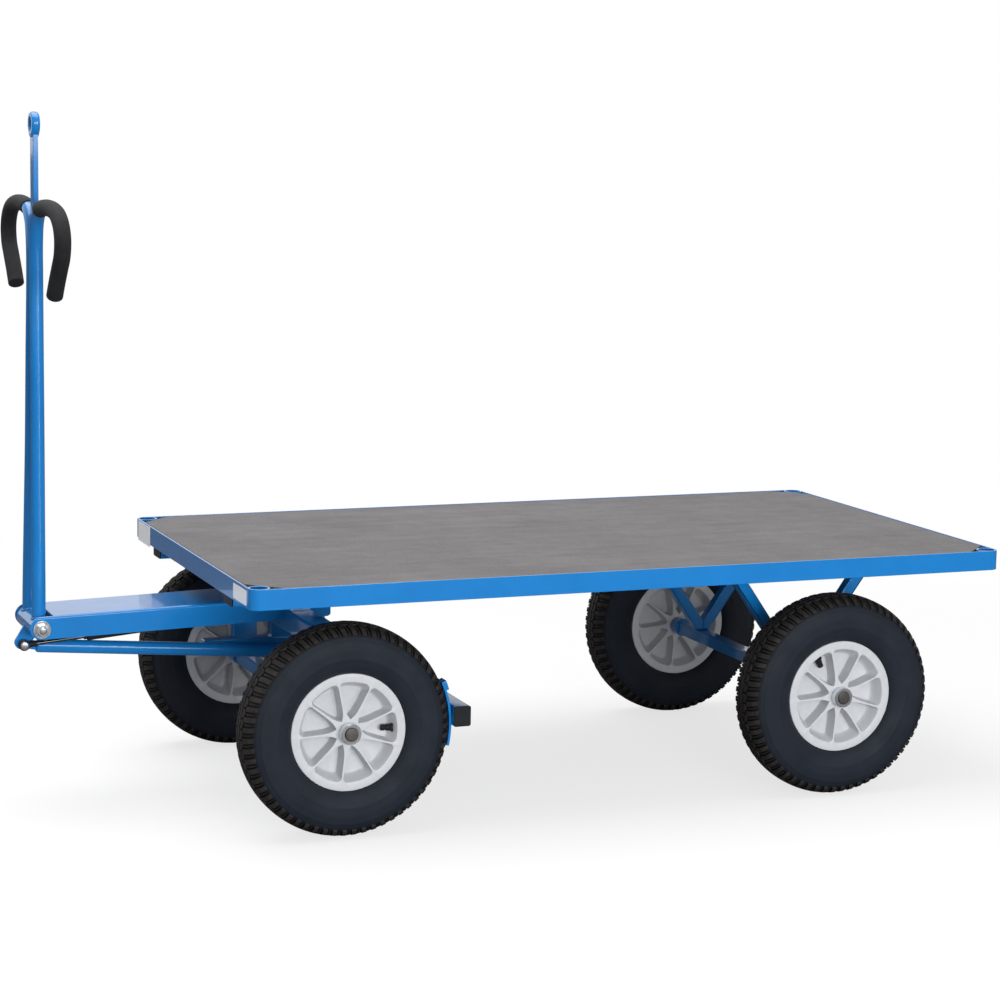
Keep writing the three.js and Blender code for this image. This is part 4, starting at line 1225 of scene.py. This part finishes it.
# White where it is seen, with soft shadows near the object, and grey where it only throws light back.
floor_material, add, surface = wired("studio_floor", "Material")
coords = add("TexCoord")
distance = add("VectorMath", _0=coords.outputs["Object"])
distance.operation = "LENGTH"
fade = add("MapRange", {"From Min": 1.4, "From Max": 3.2, "To Min": 0.72, "To Max": 1.0},
           Value=distance.outputs["Value"])
fade.interpolation_type = "SMOOTHSTEP"
paper = add("BsdfDiffuse", {"Color": (0.9, 0.9, 0.905, 1)})
glow = add("Emission", {"Color": (1, 1, 1, 1), "Strength": 1.0})
seen = add("MixShader", Fac=fade.outputs["Result"], _1=paper.outputs["BSDF"], _2=glow.outputs["Emission"])
dim = add("BsdfDiffuse", {"Color": (0.34, 0.34, 0.345, 1)})
ray = add("LightPath")
darker = add("BsdfDiffuse", {"Color": (0.16, 0.16, 0.165, 1)})
unseen = add("MixShader", Fac=ray.outputs["Is Glossy Ray"], _1=dim.outputs["BSDF"], _2=darker.outputs["BSDF"])
both = add("MixShader", Fac=ray.outputs["Is Camera Ray"], _1=unseen.outputs["Shader"],
           _2=seen.outputs["Shader"])
surface(both.outputs["Shader"])
floor_mesh.materials.append(floor_material)

world, add, surface = wired("studio", "World")
sky = add("Background", {"Color": (1, 1, 1, 1), "Strength": 0.55})
backdrop = add("Background", {"Color": (1, 1, 1, 1), "Strength": 1.0})
ray = add("LightPath")
# Shiny faces mirror a bright wall behind the object and a dim room in front of it.
aim = add("SeparateXYZ", _0=add("TexCoord").outputs["Generated"])
wall = add("MapRange", {"From Min": -0.2, "From Max": 0.6, "To Min": 0.4, "To Max": 1.0},
           Value=aim.outputs["Y"])
mirrored = add("Background", {"Color": (1, 1, 1, 1)}, Strength=wall.outputs["Result"])
unseen = add("MixShader", Fac=ray.outputs["Is Glossy Ray"], _1=sky.outputs["Background"],
             _2=mirrored.outputs["Background"])
both = add("MixShader", Fac=ray.outputs["Is Camera Ray"], _1=unseen.outputs["Shader"],
           _2=backdrop.outputs["Background"])
surface(both.outputs["Shader"])
bpy.context.scene.world = world


def softbox(name, location, target, width, height, watts):
    light = bpy.data.lights.new(name, "AREA")
    light.shape = "RECTANGLE"
    light.size, light.size_y, light.energy = width, height, watts
    obj = bpy.data.objects.new(name, light)
    bpy.context.scene.collection.objects.link(obj)
    obj.location = location
    aim = Vector(target) - Vector(location)
    obj.rotation_euler = aim.to_track_quat("-Z", "Y").to_euler()
    return obj


softbox("overhead", (-1.0, 0.5, 4.3), (-0.3, 0.3, 0), 3.6, 3.6, 155)
softbox("key", (0.0, -7.5, 2.3), (0.2, 0, 0.4), 3.4, 2.4, 160)
# Light from low in front reaches the wheels under the deck, and leaves no glare on the bright metal.
softbox("low_fill", (0.3, -7.6, 0.5), (0.3, 0, 0.3), 6.0, 0.8, 430).visible_glossy = False
# A tall strip that only shiny faces mirror draws the thin upright highlights.
softbox("strip", (1.6, -6.8, 1.9), (-0.6, 0, 0.7), 0.5, 3.6, 46).visible_diffuse = False

lens = bpy.data.cameras.new("camera")
camera = bpy.data.objects.new("camera", lens)
bpy.context.scene.collection.objects.link(camera)
bpy.context.scene.camera = camera
lens.sensor_width = 36
lens.lens = 95.02
lens.shift_x, lens.shift_y = 0.0064, -0.0127
lens.clip_end = 200
yaw, pitch, roll = (math.radians(a) for a in (21.338, 8.238, 0.921))
ahead = Vector((math.sin(yaw) * math.cos(pitch), math.cos(yaw) * math.cos(pitch), -math.sin(pitch)))
across = Vector((math.cos(yaw), -math.sin(yaw), 0))
upward = across.cross(ahead)
right = across * math.cos(roll) + upward * math.sin(roll)
up = upward * math.cos(roll) - across * math.sin(roll)
turn = Matrix((right, up, -ahead)).transposed().to_4x4()
camera_at = (-1.9503, -5.0648, 1.3862)
camera.matrix_world = Matrix.Translation(camera_at) @ turn
bpy.context.scene.view_settings.view_transform = "Standard"
